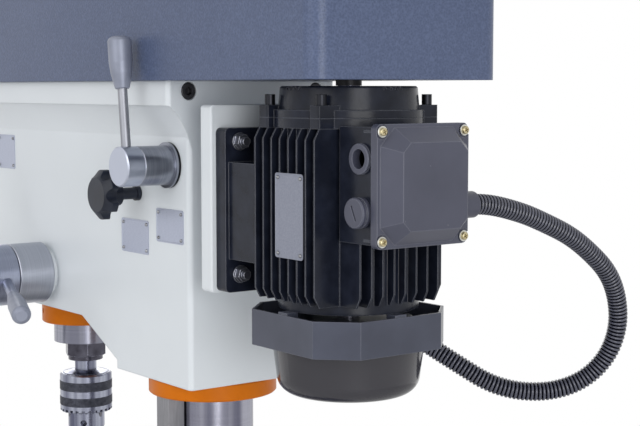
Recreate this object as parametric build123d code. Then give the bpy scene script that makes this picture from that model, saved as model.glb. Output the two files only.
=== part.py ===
from build123d import *
import os
from math import acos, cos, pi, radians, sin, tan

# Bench drill in millimetres. +Z is up, +X the operator's right and +Y the rear.
# The origin is on the column's axis, in the plane of the base's underside.

# Clearances
RUNNING = 0.05          # radial, for a shaft that turns or slides in its bore
SEATED = 0.02           # radial, for a piece that is pressed or screwed in its seat
APART = 0.3             # between faces that pass each other

# Base
BASE_WIDTH = 320.0
BASE_LENGTH = 540.0
BASE_HEIGHT = 62.0
BASE_REAR = 125.0       # rear edge, behind the column's axis
BASE_CORNER_R = 45.0
BASE_DRAFT = 6.0        # degrees
BENCH_HOLE_R = 7.0
BENCH_HOLE_INSET_X = 32.0
BENCH_HOLE_INSET_Y = 32.0
POCKET_SIZE = 72.0      # square pockets of the underside
POCKET_RIB = 12.0
POCKET_DEPTH = 26.0
POCKET_COLUMNS = 3
POCKET_ROWS = 3
POCKET_START_Y = -110.0

# T-slots of the base and of the table
SLOT_NECK_WIDTH = 14.0
SLOT_NECK_DEPTH = 11.0
SLOT_HEAD_WIDTH = 24.0
SLOT_HEAD_DEPTH = 9.0
BASE_SLOT_X = 75.0
BASE_SLOT_END_Y = -130.0
TABLE_SLOT_PITCH = 150.0

# Column, socket and rack
COLUMN_R = 40.0
COLUMN_WALL = 6.0
SOCKET_FLANGE_R = 86.0
SOCKET_FLANGE_HEIGHT = 20.0
SOCKET_HEIGHT = 72.0
SOCKET_BOSS_R = 61.0
SOCKET_BOLT_CIRCLE_R = 72.0
SOCKET_BOLT_R = 6.0
SOCKET_BOLT_HEAD_R = 10.4
SOCKET_BOLT_HEAD_HEIGHT = 8.0
SOCKET_BOLT_DEPTH = 24.0
RACK_WIDTH = 22.0
RACK_THICKNESS = 17.5
RACK_MODULE = 2.5
LIFT_PINION_TEETH = 14
COLLAR_R = 63.2
COLLAR_HEIGHT = 16.5

# Head casting: heights are drops below its top face
HEAD_TOP = 1010.0
HEAD_HALF_WIDTH = 66.0
HEAD_REAR = 64.0
HEAD_FRONT = -355.0
HEAD_BOTTOM_DROP = 288.0
HEAD_NOSE_DROP = 243.0      # underside in front of the column
HEAD_STEP_Y = -74.0         # where the deep part ends
HEAD_STEP_RISE = 9.0
HEAD_SLOPE_END_Y = -148.0
FLANGE_RIGHT_X = 88.0
FLANGE_LEFT_X = -103.0
FLANGE_THICKNESS = 23.0
FLANGE_SWEEP_WIDTH = 20.0   # from the walls out to the flange
FLANGE_SWEEP_HEIGHT = 29.0
FLANGE_SWEEP_BOW = 1.5
FLANGE_FRONT_R = 45.0
FLANGE_REAR_R = 4.5
HEAD_EDGE_R = 1.5
HEAD_REAR_EDGE_R = 5.0
COLUMN_TOP_DROP = 135.0
CAVITY_WALL = 12.0
CAVITY_UPPER_HALF_WIDTH = 24.0
CAVITY_FRONT_Y = -204.0
CAVITY_LOWER_REAR_Y = -56.0
CAVITY_REAR_WALL = 26.0
FLANGE_SCREW_X = (-80.0, 65.0)
FLANGE_SCREW_DROP = 9.4
FLANGE_SCREW_R = 4.0
FLANGE_SCREW_LENGTH = 20.0
FLANGE_SCREW_RECESS_R = 8.3
FLANGE_SCREW_RECESS_DEPTH = 10.0

# Quill and spindle
SPINDLE_Y = -267.0
QUILL_R = 30.0
QUILL_NOSE_R = 35.0
QUILL_TOP_DROP = 78.0
QUILL_SHOULDER_DROP = 269.0
QUILL_BOTTOM_DROP = 292.0
QUILL_TRAVEL = 85.0
QUILL_BORE_R = 18.0
FEED_MODULE = 2.0
FEED_PINION_TEETH = 11
FEED_TOOTH_SINK = 0.5       # tooth tips lie this far under the quill's surface
BEARING_R = 26.0
BEARING_BORE_R = 12.5
BEARING_HEIGHT = 15.0
SPINDLE_TOP_RISE = 78.0     # above the head's top face
SPLINE_ROOT_R = 9.0
SPLINE_TIP_R = 11.0
SPLINE_KEY_WIDTH = 4.4
SPLINE_KEYS = 6
STOP_COLLAR_R = 48.0
STOP_COLLAR_SLIT = 3.0
STOP_SCREW_R = 3.0
STOP_SCREW_TURN = -14.0     # degrees from +X
SPINDLE_NOSE_R = 16.0
SPINDLE_NOSE_DROP = 313.0
NUT_ACROSS_CORNERS = 49.0
NUT_HEIGHT = 16.5
NUT_TURN = 8.0              # degrees
NUT_FLANGE_R = 19.5
NUT_FLANGE_HEIGHT = 5.0

# Drill chuck
ARBOR_R = 9.0
ARBOR_LENGTH = 46.0
CHUCK_NECK_R = 12.2
CHUCK_NECK_LENGTH = 13.0
CHUCK_CONE_HEIGHT = 2.8
CHUCK_CORE_R = 19.5
CHUCK_SLEEVE_R = 29.3
CHUCK_SLEEVE_HEIGHT = 44.0
CHUCK_SLEEVE_LIP = 6.0
CHUCK_LIP_R = 24.4          # room for the jaws inside the sleeve's lower lip
CHUCK_CAVITY_R = 26.2
CHUCK_CAVITY_HEIGHT = 16.0
CHUCK_NOSE_R = 20.6
CHUCK_NOSE_HEIGHT = 27.0
CHUCK_KEY_HOLE_R = 3.6
CHUCK_TEETH = 26
CHUCK_TOOTH_DEPTH = 3.6
JAW_R = 4.2
JAW_LENGTH = 36.0
JAW_TILT = 15.0             # degrees from the spindle's axis
JAW_TURN = 113.0            # degrees from +X to the first jaw
JAW_TIP_RADIUS = 9.0        # from the spindle's axis to the jaw's axis at its tip
JAW_STANDOUT = 6.0
JAW_NAMES = ("chuck_jaw_a", "chuck_jaw_b", "chuck_jaw_c")

# Feed shaft, depth ring and handles
FEED_DROP = 205.0
FEED_JOURNAL_R = 13.4
FEED_TOOTHED_HALF_WIDTH = 19.0
FEED_BOSS_R = 26.0
FEED_BOSS_HEIGHT = 6.0
DEPTH_RING_R = 32.5
DEPTH_RING_LENGTH = 39.0
FEED_HUB_R = 32.5
FEED_HUB_LENGTH = 30.0
FEED_CORE_R = 20.0          # the hub's sleeve inside the depth ring
SPOKE_R = 5.5
SPOKE_LENGTH = 90.5
SPOKE_TILT = 18.0           # degrees outwards
SPOKE_START_TURN = -9.0     # degrees from +Y towards +Z
SPOKE_COUNT = 3
SPOKE_SEAT = 12.0
HANDLE_LENGTH = 66.0
HANDLE_ROOT_R = 6.6
HANDLE_END_R = 9.5
HANDLE_SEAT = 30.0
SPRING_HOUSING_R = 36.0
SPRING_HOUSING_LENGTH = 30.0
SPRING_HOUSING_WALL = 3.0
SPRING_TURNS = 5
SPRING_STRIP = 1.0
SPRING_WIDTH = 18.0

# Belt cover, pan and hinges
COVER_RIGHT_X = 95.0
COVER_LEFT_X = -104.0
COVER_REAR = 295.0
COVER_FRONT = -372.0
COVER_HEIGHT = 150.0
COVER_WALL = 3.0
COVER_CORNER_R = 16.0
COVER_FRONT_R = 70.0
COVER_TOP_R = 13.0
PAN_THICKNESS = 4.0
PAN_GAP = 2.0
HINGE_STANDOFF = 6.0        # from the cover's left side to the hinge axis
HINGE_RISE = 5.5
HINGE_R = 5.0
HINGE_PIN_R = 2.5
HINGE_KNUCKLE = 24.0
HINGE_Y = (-190.0, 150.0)

# Belt drive: levels count upwards from the pan
GROOVE_WIDTH = 10.0
GROOVE_DEPTH = 6.0
LEVEL_PITCH = 16.0
FIRST_LEVEL_RISE = 28.0
SPINDLE_PULLEY_R = (76.0, 64.0, 52.0, 40.0)
IDLER_PULLEY_R = (70.0, 60.0, 50.0, 40.0)
MOTOR_PULLEY_R = (38.0, 44.0, 50.0, 56.0)
FRONT_BELT_LEVEL = 1
REAR_BELT_LEVEL = 2
SLEEVE_R = 20.0
SLEEVE_BOTTOM_DROP = 62.0
SLEEVE_BEARING_R = 34.0
SLEEVE_BEARING_HEIGHT = 15.0
IDLER_Y = -30.0
IDLER_PIVOT_Y = 51.0
IDLER_PIN_R = 9.0
IDLER_PIVOT_R = 8.0
IDLER_PIVOT_DEPTH = 45.0
IDLER_ARM_WIDTH = 32.0
IDLER_ARM_THICKNESS = 9.0
BELT_WIDTH = GROOVE_WIDTH - 2 * APART
BELT_THICKNESS = GROOVE_DEPTH - 2 * APART

# Motor slide, tension lever and lock knob
BAR_X = 40.0
BAR_DROP = 108.0
BAR_R = 12.0
BAR_FRONT = -105.0
BAR_SEAT = 13.0
MOTOR_TRAVEL = 25.0
PLATE_HALF_WIDTH = 77.0
PLATE_FRONT = 102.5
PLATE_THICKNESS = 16.5
PLATE_TOP_DROP = 21.2
PLATE_BOTTOM_DROP = 188.5
PLATE_EDGE_R = 4.0
TENSION_Y = 30.0
TENSION_DROP = 78.5
TENSION_MODULE = 2.0
TENSION_TEETH = 20
TENSION_PINION_WIDTH = 20.0
TENSION_SHAFT_R = 12.0
TENSION_HUB_R = 18.5
TENSION_HUB_LENGTH = 50.0
TENSION_RING_R = 21.5
TENSION_RING_LENGTH = 4.0
TENSION_GROOVE = 0.6
TENSION_CAP_LENGTH = 18.5
LEVER_R = 4.5
LEVER_LENGTH = 79.0
LEVER_LEAN = 6.0            # degrees towards the front
LEVER_SEAT = 12.0
GRIP_LENGTH = 48.0
GRIP_ROOT_R = 6.9
GRIP_END_R = 11.0
GRIP_SEAT = 14.0
LOCK_Y = -28.0
LOCK_STUD_R = 5.8
LOCK_STUD_LENGTH = 34.0
LOCK_BOSS_R = 11.0
LOCK_BOSS_LENGTH = 12.0
LOCK_STAR_R = 23.8
LOCK_FACE_R = 16.5
LOCK_CROWN = 7.0
LOCK_STAR_LENGTH = 12.5
LOCK_LOBES = 6

# Motor
MOTOR_Y = 217.0
CORE_R = 61.0
CORE_WALL = 5.0
FIN_REACH = 69.0
FIN_COUNT = 8
FIN_PITCH = 12.0
FIN_THICKNESS = 1.6
FIN_TOP_DROP = 40.0
FIN_BOTTOM_DROP = 186.0
FIN_CHAMFER = 9.0
FIN_CHAMFER_DEPTH = 5.0
FOOT_HALF_WIDTH = 72.0
FOOT_THICKNESS = 15.0
FOOT_TOP_DROP = 41.5
FOOT_BOTTOM_DROP = 187.0
WEB_HALF_WIDTH = 68.3
WEB_TOP_DROP = 71.5
WEB_BOTTOM_DROP = 157.0
WEB_DEPTH = 40.0
FOOT_BOLT_X = 57.0
FOOT_BOLT_TOP_DROP = 53.5
FOOT_BOLT_BOTTOM_DROP = 171.0
FOOT_BOLT_R = 3.8
FOOT_WASHER_R = 7.8
FOOT_WASHER_THICKNESS = 1.6
FOOT_NUT_R = 6.7
FOOT_NUT_HEIGHT = 6.0
FOOT_STUD_STANDOUT = 4.0
RIM_R = 64.6
RIM_SPLIT_DROP = 31.5
SHIELD_RIM_TOP_DROP = 25.0
LUG_SCREW_X = 57.0          # from the motor's axis
LUG_SCREW_Y = 36.0
LUG_REACH = 64.2
LUG_HALF_WIDTH = 6.5
LUG_RISE = 4.0
DOME_TOP_DROP = 5.0
DOME_TOP_R = 59.0
DOME_BOTTOM_R = 60.7
SHIELD_WALL = 6.0
DOME_SLOT_WIDTH = 2.8
DOME_SLOT_DEPTH = 3.2
DOME_SLOT_PITCH = 5.5       # degrees
DOME_SLOTS = 4              # in each of four groups
SHIELD_SCREW_R = 2.6
SHIELD_SCREW_HEAD_R = 4.4
SHIELD_SCREW_HEAD_HEIGHT = 9.0
SHAFT_R = 9.5
SHAFT_TOP_RISE = 92.0
PULLEY_HUB_R = 11.2
MOTOR_BEARING_R = 23.5
MOTOR_BEARING_HEIGHT = 14.0
STATOR_TOP_DROP = 60.0
STATOR_BOTTOM_DROP = 165.0
STATOR_BORE_R = 38.0
ROTOR_GAP = 0.6
SHAFT_BOTTOM_DROP = 222.0
FAN_R = 56.0
FAN_HEIGHT = 18.0
FAN_HUB_R = 18.0
FAN_BLADES = 8
FAN_BLADE_THICKNESS = 2.5
COWL_ACROSS_FLATS = 143.0
COWL_CHAMFER = 28.0
COWL_TOP_DROP = 196.0
COWL_GAP = 2.0              # between the housing's underside and the cowl's edge
COWL_TAB_HALF_WIDTH = 6.0
COWL_TAB_HEIGHT = 10.0
COWL_SKIRT_DROP = 227.0
COWL_BOTTOM_DROP = 269.5
COWL_WALL = 2.5
BOWL_R = 66.0
BOWL_BOTTOM_R = 60.5
BOWL_ROUND_R = 16.0
COWL_SLOTS = 10

# Terminal box on the motor's rear
TERMINAL_X = 2.0
TERMINAL_HALF_WIDTH = 48.5
TERMINAL_TOP_DROP = 35.0
TERMINAL_BOTTOM_DROP = 134.0
TERMINAL_BODY_INSET = 2.5
TERMINAL_DEPTH = 43.0
TERMINAL_WALL = 4.0
TERMINAL_COVER_RIM = 8.0
TERMINAL_COVER_CROWN = 15.0
TERMINAL_CROWN_INSET = 3.0
TERMINAL_CROWN_SLOPE = 11.5
TERMINAL_CROWN_CORNER = 14.5
TERMINAL_CORNER_R = 5.0
TERMINAL_SCREW_PITCH = 87.0
TERMINAL_SCREW_R = 2.4
TERMINAL_SCREW_HEAD_R = 4.6
GLAND_BACK = 23.0           # from the cover's seat to the conduit gland's axis
ENTRY_BACK = 14.5           # from the cover's seat to the axes of the entries on the right
ENTRY_UPPER_DROP = 63.0
ENTRY_LOWER_DROP = 106.0
ENTRY_R = 9.5
ENTRY_RING_R = 12.5
ENTRY_RING_LENGTH = 3.6
ENTRY_GROOVE = 1.2
PLUG_GAP = 1.6
PLUG_HEAD_LENGTH = 3.4
PLUG_SLOT_WIDTH = 2.0
PLUG_SLOT_DEPTH = 1.5
PLUG_SLOT_TURN = 26.0       # degrees

# Switch box on the head's left side
SWITCH_DEPTH = 84.0
SWITCH_FRONT = -150.0
SWITCH_REAR = 30.0
SWITCH_TOP_DROP = 104.0
SWITCH_BOTTOM_DROP = 248.0
SWITCH_WALL = 3.0
SWITCH_EDGE_R = 8.0
BUTTON_X = -108.0
BUTTON_DROPS = {"start_button": 145.0, "stop_button": 200.0}
BUTTON_R = 14.0
BUTTON_STANDOUT = 9.0
BUTTON_STEM_R = 10.0
BUTTON_STEM = 14.0
BUTTON_RING_HEIGHT = 3.0

# Corrugated conduit: the points are chosen along its hanging loop
CONDUIT_R = 9.1
CONDUIT_ROOT_R = 7.9
CONDUIT_BORE_R = 6.0
CONDUIT_RIBS = 158
GLAND_R = 11.5
GLAND_HEX_R = 14.0
GLAND_HEX_LENGTH = 10.0
CONDUIT_ROUTE = (
    (-80, 286, 904),
    (-97, 286, 904),
    (-139, 287, 894),
    (-169, 287, 883),
    (-200, 288, 870),
    (-228, 287, 853),
    (-255, 286, 832),
    (-273, 282, 806),
    (-281, 277, 776),
    (-277, 268, 747),
    (-261, 255, 725),
    (-237, 240, 714),
    (-209, 222, 713),
    (-184, 203, 721),
    (-164, 183, 738),
    (-148, 160, 754),
    (-136, 134, 769),
    (-127, 105, 780),
    (-122, 76, 786),
    (-122, 46, 786),
)

# Table and its bracket
TABLE_TOP = 350.0
TABLE_SIZE = 300.0
TABLE_THICKNESS = 26.0
TABLE_CORNER_R = 14.0
TABLE_HOLE_R = 17.0
TABLE_RIM = 10.0            # from the table's edge to the coolant groove
TABLE_GROOVE_WIDTH = 7.0
TABLE_GROOVE_DEPTH = 4.0
TILT_DROP = 58.0            # tilt axis below the table's face
TILT_DISC_R = 40.0
TILT_DISC_THICKNESS = 20.0
TILT_FACE_Y = -105.0
TILT_BOLT_R = 9.0
TILT_HEAD_R = 15.0
TILT_HEAD_HEIGHT = 11.0
KNUCKLE_HALF_WIDTH = 34.0
KNUCKLE_LENGTH = 26.0
TABLE_RIB = 12.0
TABLE_RIB_DEPTH = 16.0
BRACKET_R = 62.0
BRACKET_HEIGHT = 112.0
BRACKET_ARM_HALF_WIDTH = 30.0
RACK_CLEARANCE = 0.5
GEAR_BOX_REACH = 98.0
GEAR_BOX_HALF_HEIGHT = 30.0
GEAR_BOX_WALL = 9.0
LIFT_SHAFT_R = 9.0
CRANK_R = 70.0
CRANK_HUB_R = 14.0
CRANK_THICKNESS = 13.0
CRANK_PIN_R = 5.0
CRANK_GRIP_R = 11.0
CRANK_GRIP_LENGTH = 70.0
CLAMP_SLIT = 4.0
CLAMP_EAR_REACH = 94.0
CLAMP_EAR_HALF_WIDTH = 20.0
CLAMP_EAR_HALF_HEIGHT = 24.0
CLAMP_SCREW_X = -79.0
CLAMP_SCREW_R = 6.0
CLAMP_HUB_R = 12.0
CLAMP_HUB_LENGTH = 16.0
CLAMP_LEVER_LENGTH = 88.0
CLAMP_LEVER_R = 5.0
CLAMP_BALL_R = 11.0

PRESSURE_ANGLE = radians(20.0)
TOOTH_THINNING = 0.25       # backlash taken from each tooth


# Plain solids between given coordinates

def block(x, y, z):
    size = Box(x[1] - x[0], y[1] - y[0], z[1] - z[0])
    return Pos((x[0] + x[1]) / 2, (y[0] + y[1]) / 2, (z[0] + z[1]) / 2) * size


def along(axis, at):
    """Placement that turns +Z to the axis, through the point given by the other two coordinates."""
    if axis == "x":
        return Pos(0, at[0], at[1]) * Rot(0, 90, 0)
    if axis == "y":
        return Pos(at[0], 0, at[1]) * Rot(-90, 0, 0)
    return Pos(at[0], at[1], 0)


def bar(axis, at, radius, span):
    length = span[1] - span[0]
    return along(axis, at) * Pos(0, 0, span[0] + length / 2) * Cylinder(radius, length)


def tube(axis, at, outer, inner, span):
    return bar(axis, at, outer, span) - bar(axis, at, inner, span)


def turned(axis, at, profile):
    """Solid of revolution of a profile given as (radius, place along the axis) points."""
    outline = Plane.XZ * Polygon(*profile, align=None)
    return along(axis, at) * revolve(outline, Axis.Z)


def prism(axis, at, corner_radius, sides, span, turn=0.0):
    outline = Rot(0, 0, turn) * RegularPolygon(corner_radius, sides)
    return along(axis, at) * Pos(0, 0, span[0]) * extrude(outline, amount=span[1] - span[0])


def plan(outline, span):
    """Upright solid of an outline drawn in X and Y."""
    return Pos(0, 0, span[0]) * extrude(outline, amount=span[1] - span[0], dir=(0, 0, 1))


# Gear teeth

def gear_outline(module, teeth):
    """Involute outline with a tooth on +X."""
    pitch_r = module * teeth / 2
    base_r = pitch_r * cos(PRESSURE_ANGLE)
    root_r = pitch_r - 1.25 * module
    tip_r = pitch_r + module
    flank_r = max(base_r, root_r)
    half_tooth = (pi * module / 2 - TOOTH_THINNING) / (2 * pitch_r)

    def half_angle(radius):
        turn = acos(min(1.0, base_r / radius))
        return half_tooth + tan(PRESSURE_ANGLE) - PRESSURE_ANGLE - tan(turn) + turn

    radii = [flank_r + (tip_r - flank_r) * step / 4 for step in range(5)]
    rise = [(root_r, half_angle(flank_r))] + [(r, half_angle(r)) for r in radii]
    points = []
    for tooth in range(teeth):
        middle = 2 * pi * tooth / teeth
        for radius, half in rise:
            points.append((radius * cos(middle - half), radius * sin(middle - half)))
        for radius, half in reversed(rise):
            points.append((radius * cos(middle + half), radius * sin(middle + half)))
    return Polygon(*points, align=None)


def rack_gap(module):
    """Outline of one gap between rack teeth: +X goes into the rack from the tooth tips, Y along it."""
    slope = tan(PRESSURE_ANGLE)
    half_pitch_gap = (pi * module / 2 + TOOTH_THINNING) / 2
    over = module
    mouth = half_pitch_gap + (module + over) * slope
    floor = half_pitch_gap - 1.25 * module * slope
    depth = 2.25 * module
    return Polygon((-over, -mouth), (depth, -floor), (depth, floor), (-over, mouth), align=None)


def splined_outline(grow):
    keys = [
        Rot(0, 0, 360 * key / SPLINE_KEYS) * Pos((SPLINE_TIP_R + grow) / 2, 0)
        * Rectangle(SPLINE_TIP_R + grow, SPLINE_KEY_WIDTH + 2 * grow)
        for key in range(SPLINE_KEYS)
    ]
    return Sketch() + [Circle(SPLINE_ROOT_R + grow)] + keys


# Places that several pieces share
BASE_MID_Y = BASE_REAR - BASE_LENGTH / 2
SOCKET_TOP = BASE_HEIGHT + SOCKET_HEIGHT
HEAD_BOTTOM = HEAD_TOP - HEAD_BOTTOM_DROP
COLUMN_TOP = HEAD_TOP - COLUMN_TOP_DROP
COLLAR_BOTTOM = HEAD_BOTTOM - COLLAR_HEIGHT
SPINDLE = (0, SPINDLE_Y)
QUILL_TOP = HEAD_TOP - QUILL_TOP_DROP
QUILL_SHOULDER = HEAD_TOP - QUILL_SHOULDER_DROP
QUILL_BOTTOM = HEAD_TOP - QUILL_BOTTOM_DROP
NOSE_BOTTOM = HEAD_TOP - SPINDLE_NOSE_DROP
FEED_PITCH_R = FEED_MODULE * FEED_PINION_TEETH / 2
FEED_RACK_Y = SPINDLE_Y + QUILL_R - FEED_TOOTH_SINK
FEED_Y = FEED_RACK_Y - FEED_MODULE + FEED_PITCH_R
FEED_Z = HEAD_TOP - FEED_DROP
FEED = (FEED_Y, FEED_Z)
FEED_WALL_X = HEAD_HALF_WIDTH + FEED_BOSS_HEIGHT
HINGE_X = COVER_LEFT_X - HINGE_STANDOFF
DEPTH_RING_END_X = FEED_WALL_X + APART + DEPTH_RING_LENGTH
FEED_HUB_END_X = DEPTH_RING_END_X + APART + FEED_HUB_LENGTH
CHUCK_CONE_BOTTOM = NOSE_BOTTOM - CHUCK_NECK_LENGTH - CHUCK_CONE_HEIGHT
CHUCK_SLEEVE_BOTTOM = CHUCK_CONE_BOTTOM - APART - CHUCK_SLEEVE_HEIGHT
CHUCK_NOSE_TOP = CHUCK_SLEEVE_BOTTOM - APART
CHUCK_BOTTOM = CHUCK_NOSE_TOP - CHUCK_NOSE_HEIGHT
BAR_Z = HEAD_TOP - BAR_DROP
TENSION_Z = HEAD_TOP - TENSION_DROP
TENSION = (TENSION_Y, TENSION_Z)
TENSION_PITCH_R = TENSION_MODULE * TENSION_TEETH / 2
BAR_TOOTH_TIP_Z = TENSION_Z - TENSION_PITCH_R + TENSION_MODULE
PLATE_REAR = PLATE_FRONT + PLATE_THICKNESS
FOOT_REAR = PLATE_REAR + FOOT_THICKNESS
MOTOR = (0, MOTOR_Y)
RIM_SPLIT = HEAD_TOP - RIM_SPLIT_DROP
SHIELD_RIM_TOP = HEAD_TOP - SHIELD_RIM_TOP_DROP
DOME_TOP = HEAD_TOP - DOME_TOP_DROP
FIN_TOP = HEAD_TOP - FIN_TOP_DROP
FIN_BOTTOM = HEAD_TOP - FIN_BOTTOM_DROP
COWL_TOP = HEAD_TOP - COWL_TOP_DROP
HOUSING_BOTTOM = COWL_TOP + COWL_GAP
TERMINAL_BACK_Y = MOTOR_Y + FIN_REACH - 20.0
TERMINAL_SEAT_Y = TERMINAL_BACK_Y + TERMINAL_DEPTH
TERMINAL_MID_Z = HEAD_TOP - (TERMINAL_TOP_DROP + TERMINAL_BOTTOM_DROP) / 2
TERMINAL_HEIGHT = TERMINAL_BOTTOM_DROP - TERMINAL_TOP_DROP
GLAND_ENTRY = (TERMINAL_SEAT_Y - GLAND_BACK, HEAD_TOP - ENTRY_LOWER_DROP)
ENTRY_Y = TERMINAL_SEAT_Y - ENTRY_BACK
LOWER_ENTRY = (ENTRY_Y, HEAD_TOP - ENTRY_LOWER_DROP)
UPPER_ENTRY = (ENTRY_Y, HEAD_TOP - ENTRY_UPPER_DROP)
TERMINAL_RIGHT_X = TERMINAL_X + TERMINAL_HALF_WIDTH - TERMINAL_BODY_INSET
TERMINAL_LEFT_X = TERMINAL_X - TERMINAL_HALF_WIDTH + TERMINAL_BODY_INSET
TILT_Z = TABLE_TOP - TILT_DROP
TILT = (0, TILT_Z)
LIFT_PITCH_R = RACK_MODULE * LIFT_PINION_TEETH / 2
RACK_BACK_X = COLUMN_R + APART
RACK_FACE_X = RACK_BACK_X + RACK_THICKNESS
LIFT = (-RACK_WIDTH / 2 + RACK_MODULE - LIFT_PITCH_R, TILT_Z)
CRANK_X = GEAR_BOX_REACH + APART


def level_z(level):
    return HEAD_TOP + FIRST_LEVEL_RISE + level * LEVEL_PITCH


# Stand

def tee_slots(centres, direction, span, face_z):
    """T-slots with their mouths in the face at face_z."""
    neck_z = face_z - SLOT_NECK_DEPTH
    slots = []
    for centre in centres:
        for half, low, high in (
            (SLOT_NECK_WIDTH / 2, neck_z, face_z + 1),
            (SLOT_HEAD_WIDTH / 2, neck_z - SLOT_HEAD_DEPTH, neck_z),
        ):
            across = (centre - half, centre + half)
            x, y = (across, span) if direction == "y" else (span, across)
            slots.append(block(x, y, (low, high)))
    return slots


def make_base():
    outline = Pos(0, BASE_MID_Y) * RectangleRounded(BASE_WIDTH, BASE_LENGTH, BASE_CORNER_R)
    body = extrude(outline, amount=BASE_HEIGHT, taper=BASE_DRAFT)
    pitch = POCKET_SIZE + POCKET_RIB
    for column in range(POCKET_COLUMNS):
        for row in range(POCKET_ROWS):
            x = (column - (POCKET_COLUMNS - 1) / 2) * pitch
            y = POCKET_START_Y - POCKET_SIZE / 2 - row * pitch
            pocket = Pos(x, y) * RectangleRounded(POCKET_SIZE, POCKET_SIZE, POCKET_RIB)
            body -= extrude(pocket, amount=POCKET_DEPTH)
    front = BASE_REAR - BASE_LENGTH
    body -= tee_slots((-BASE_SLOT_X, BASE_SLOT_X), "y", (front - 1, BASE_SLOT_END_Y), BASE_HEIGHT)
    hole_x = BASE_WIDTH / 2 - BENCH_HOLE_INSET_X
    hole_y = BASE_LENGTH / 2 - BENCH_HOLE_INSET_Y
    for x in (-hole_x, hole_x):
        for y in (BASE_MID_Y - hole_y, BASE_MID_Y + hole_y):
            body -= bar("z", (x, y), BENCH_HOLE_R, (-1, BASE_HEIGHT + 1))
    for place in socket_bolt_places():
        body -= bar("z", place, SOCKET_BOLT_R + SEATED, (BASE_HEIGHT - SOCKET_BOLT_DEPTH, BASE_HEIGHT + 1))
    return body


def socket_bolt_places():
    turns = [radians(45 + 90 * index) for index in range(4)]
    return [(SOCKET_BOLT_CIRCLE_R * cos(turn), SOCKET_BOLT_CIRCLE_R * sin(turn)) for turn in turns]


def make_column_socket():
    flange_top = BASE_HEIGHT + SOCKET_FLANGE_HEIGHT
    body = bar("z", (0, 0), SOCKET_FLANGE_R, (BASE_HEIGHT, flange_top))
    body += bar("z", (0, 0), SOCKET_BOSS_R, (flange_top, SOCKET_TOP))
    body = chamfer(body.edges().filter_by(GeomType.CIRCLE).group_by(Axis.Z)[-1], 2.5)
    body -= bar("z", (0, 0), COLUMN_R + SEATED, (BASE_HEIGHT - 1, SOCKET_TOP + 1))
    for place in socket_bolt_places():
        body -= bar("z", place, SOCKET_BOLT_R + APART, (BASE_HEIGHT - 1, flange_top + 1))
        body -= bar("z", place, SOCKET_BOLT_HEAD_R + 2, (flange_top, SOCKET_TOP + 1))
    return body


def make_socket_bolts():
    flange_top = BASE_HEIGHT + SOCKET_FLANGE_HEIGHT
    bolts = []
    for place in socket_bolt_places():
        head = prism("z", place, SOCKET_BOLT_HEAD_R, 6, (flange_top, flange_top + SOCKET_BOLT_HEAD_HEIGHT))
        shank = bar("z", place, SOCKET_BOLT_R, (BASE_HEIGHT - SOCKET_BOLT_DEPTH + 1, flange_top))
        bolts.append(head + shank)
    return bolts


def make_column():
    return tube("z", (0, 0), COLUMN_R, COLUMN_R - COLUMN_WALL, (BASE_HEIGHT, COLUMN_TOP))


def make_column_rack():
    low = SOCKET_TOP + APART
    high = COLLAR_BOTTOM - APART
    front = -RACK_WIDTH / 2
    body = block((RACK_BACK_X, RACK_FACE_X), (front, RACK_WIDTH / 2), (low, high))
    gap = extrude(Plane.YZ * rack_gap(RACK_MODULE), amount=RACK_THICKNESS + 2, dir=(1, 0, 0))
    pitch = pi * RACK_MODULE
    for index in range(round((low - TILT_Z) / pitch) + 2, round((high - TILT_Z) / pitch) - 8):
        body -= Pos(RACK_BACK_X - 1, front, TILT_Z + index * pitch) * gap
    return body


def make_rack_collar():
    body = bar("z", (0, 0), COLLAR_R, (COLLAR_BOTTOM, HEAD_BOTTOM))
    body = chamfer(body.edges().filter_by(GeomType.CIRCLE), 1.2)
    body -= bar("z", (0, 0), COLUMN_R + SEATED, (COLLAR_BOTTOM - 1, HEAD_BOTTOM + 1))
    return body


# Head

def head_section(beyond):
    """Cross-section in X and Z: straight walls that sweep out to the wide top flange."""
    flange_z = HEAD_TOP - FLANGE_THICKNESS
    low = HEAD_BOTTOM - beyond
    high = HEAD_TOP + beyond
    edges = []
    for side, outer in ((-1, FLANGE_LEFT_X - beyond), (1, FLANGE_RIGHT_X + beyond)):
        wall_x = side * HEAD_HALF_WIDTH
        sweep = side * FLANGE_SWEEP_WIDTH
        bow = side * FLANGE_SWEEP_BOW
        wall = (wall_x, flange_z - FLANGE_SWEEP_HEIGHT)
        curve = (wall_x + sweep / 2 - bow, flange_z - FLANGE_SWEEP_HEIGHT / 2 + FLANGE_SWEEP_BOW)
        rim = (wall_x + sweep, flange_z)
        edges.append(Polyline((wall_x, low), wall))
        edges.append(ThreePointArc(wall, curve, rim))
        edges.append(Polyline(rim, (outer, flange_z), (outer, high)))
    edges.append(Line((FLANGE_LEFT_X - beyond, high), (FLANGE_RIGHT_X + beyond, high)))
    edges.append(Line((-HEAD_HALF_WIDTH, low), (HEAD_HALF_WIDTH, low)))
    return make_face(Curve() + edges)


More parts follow.
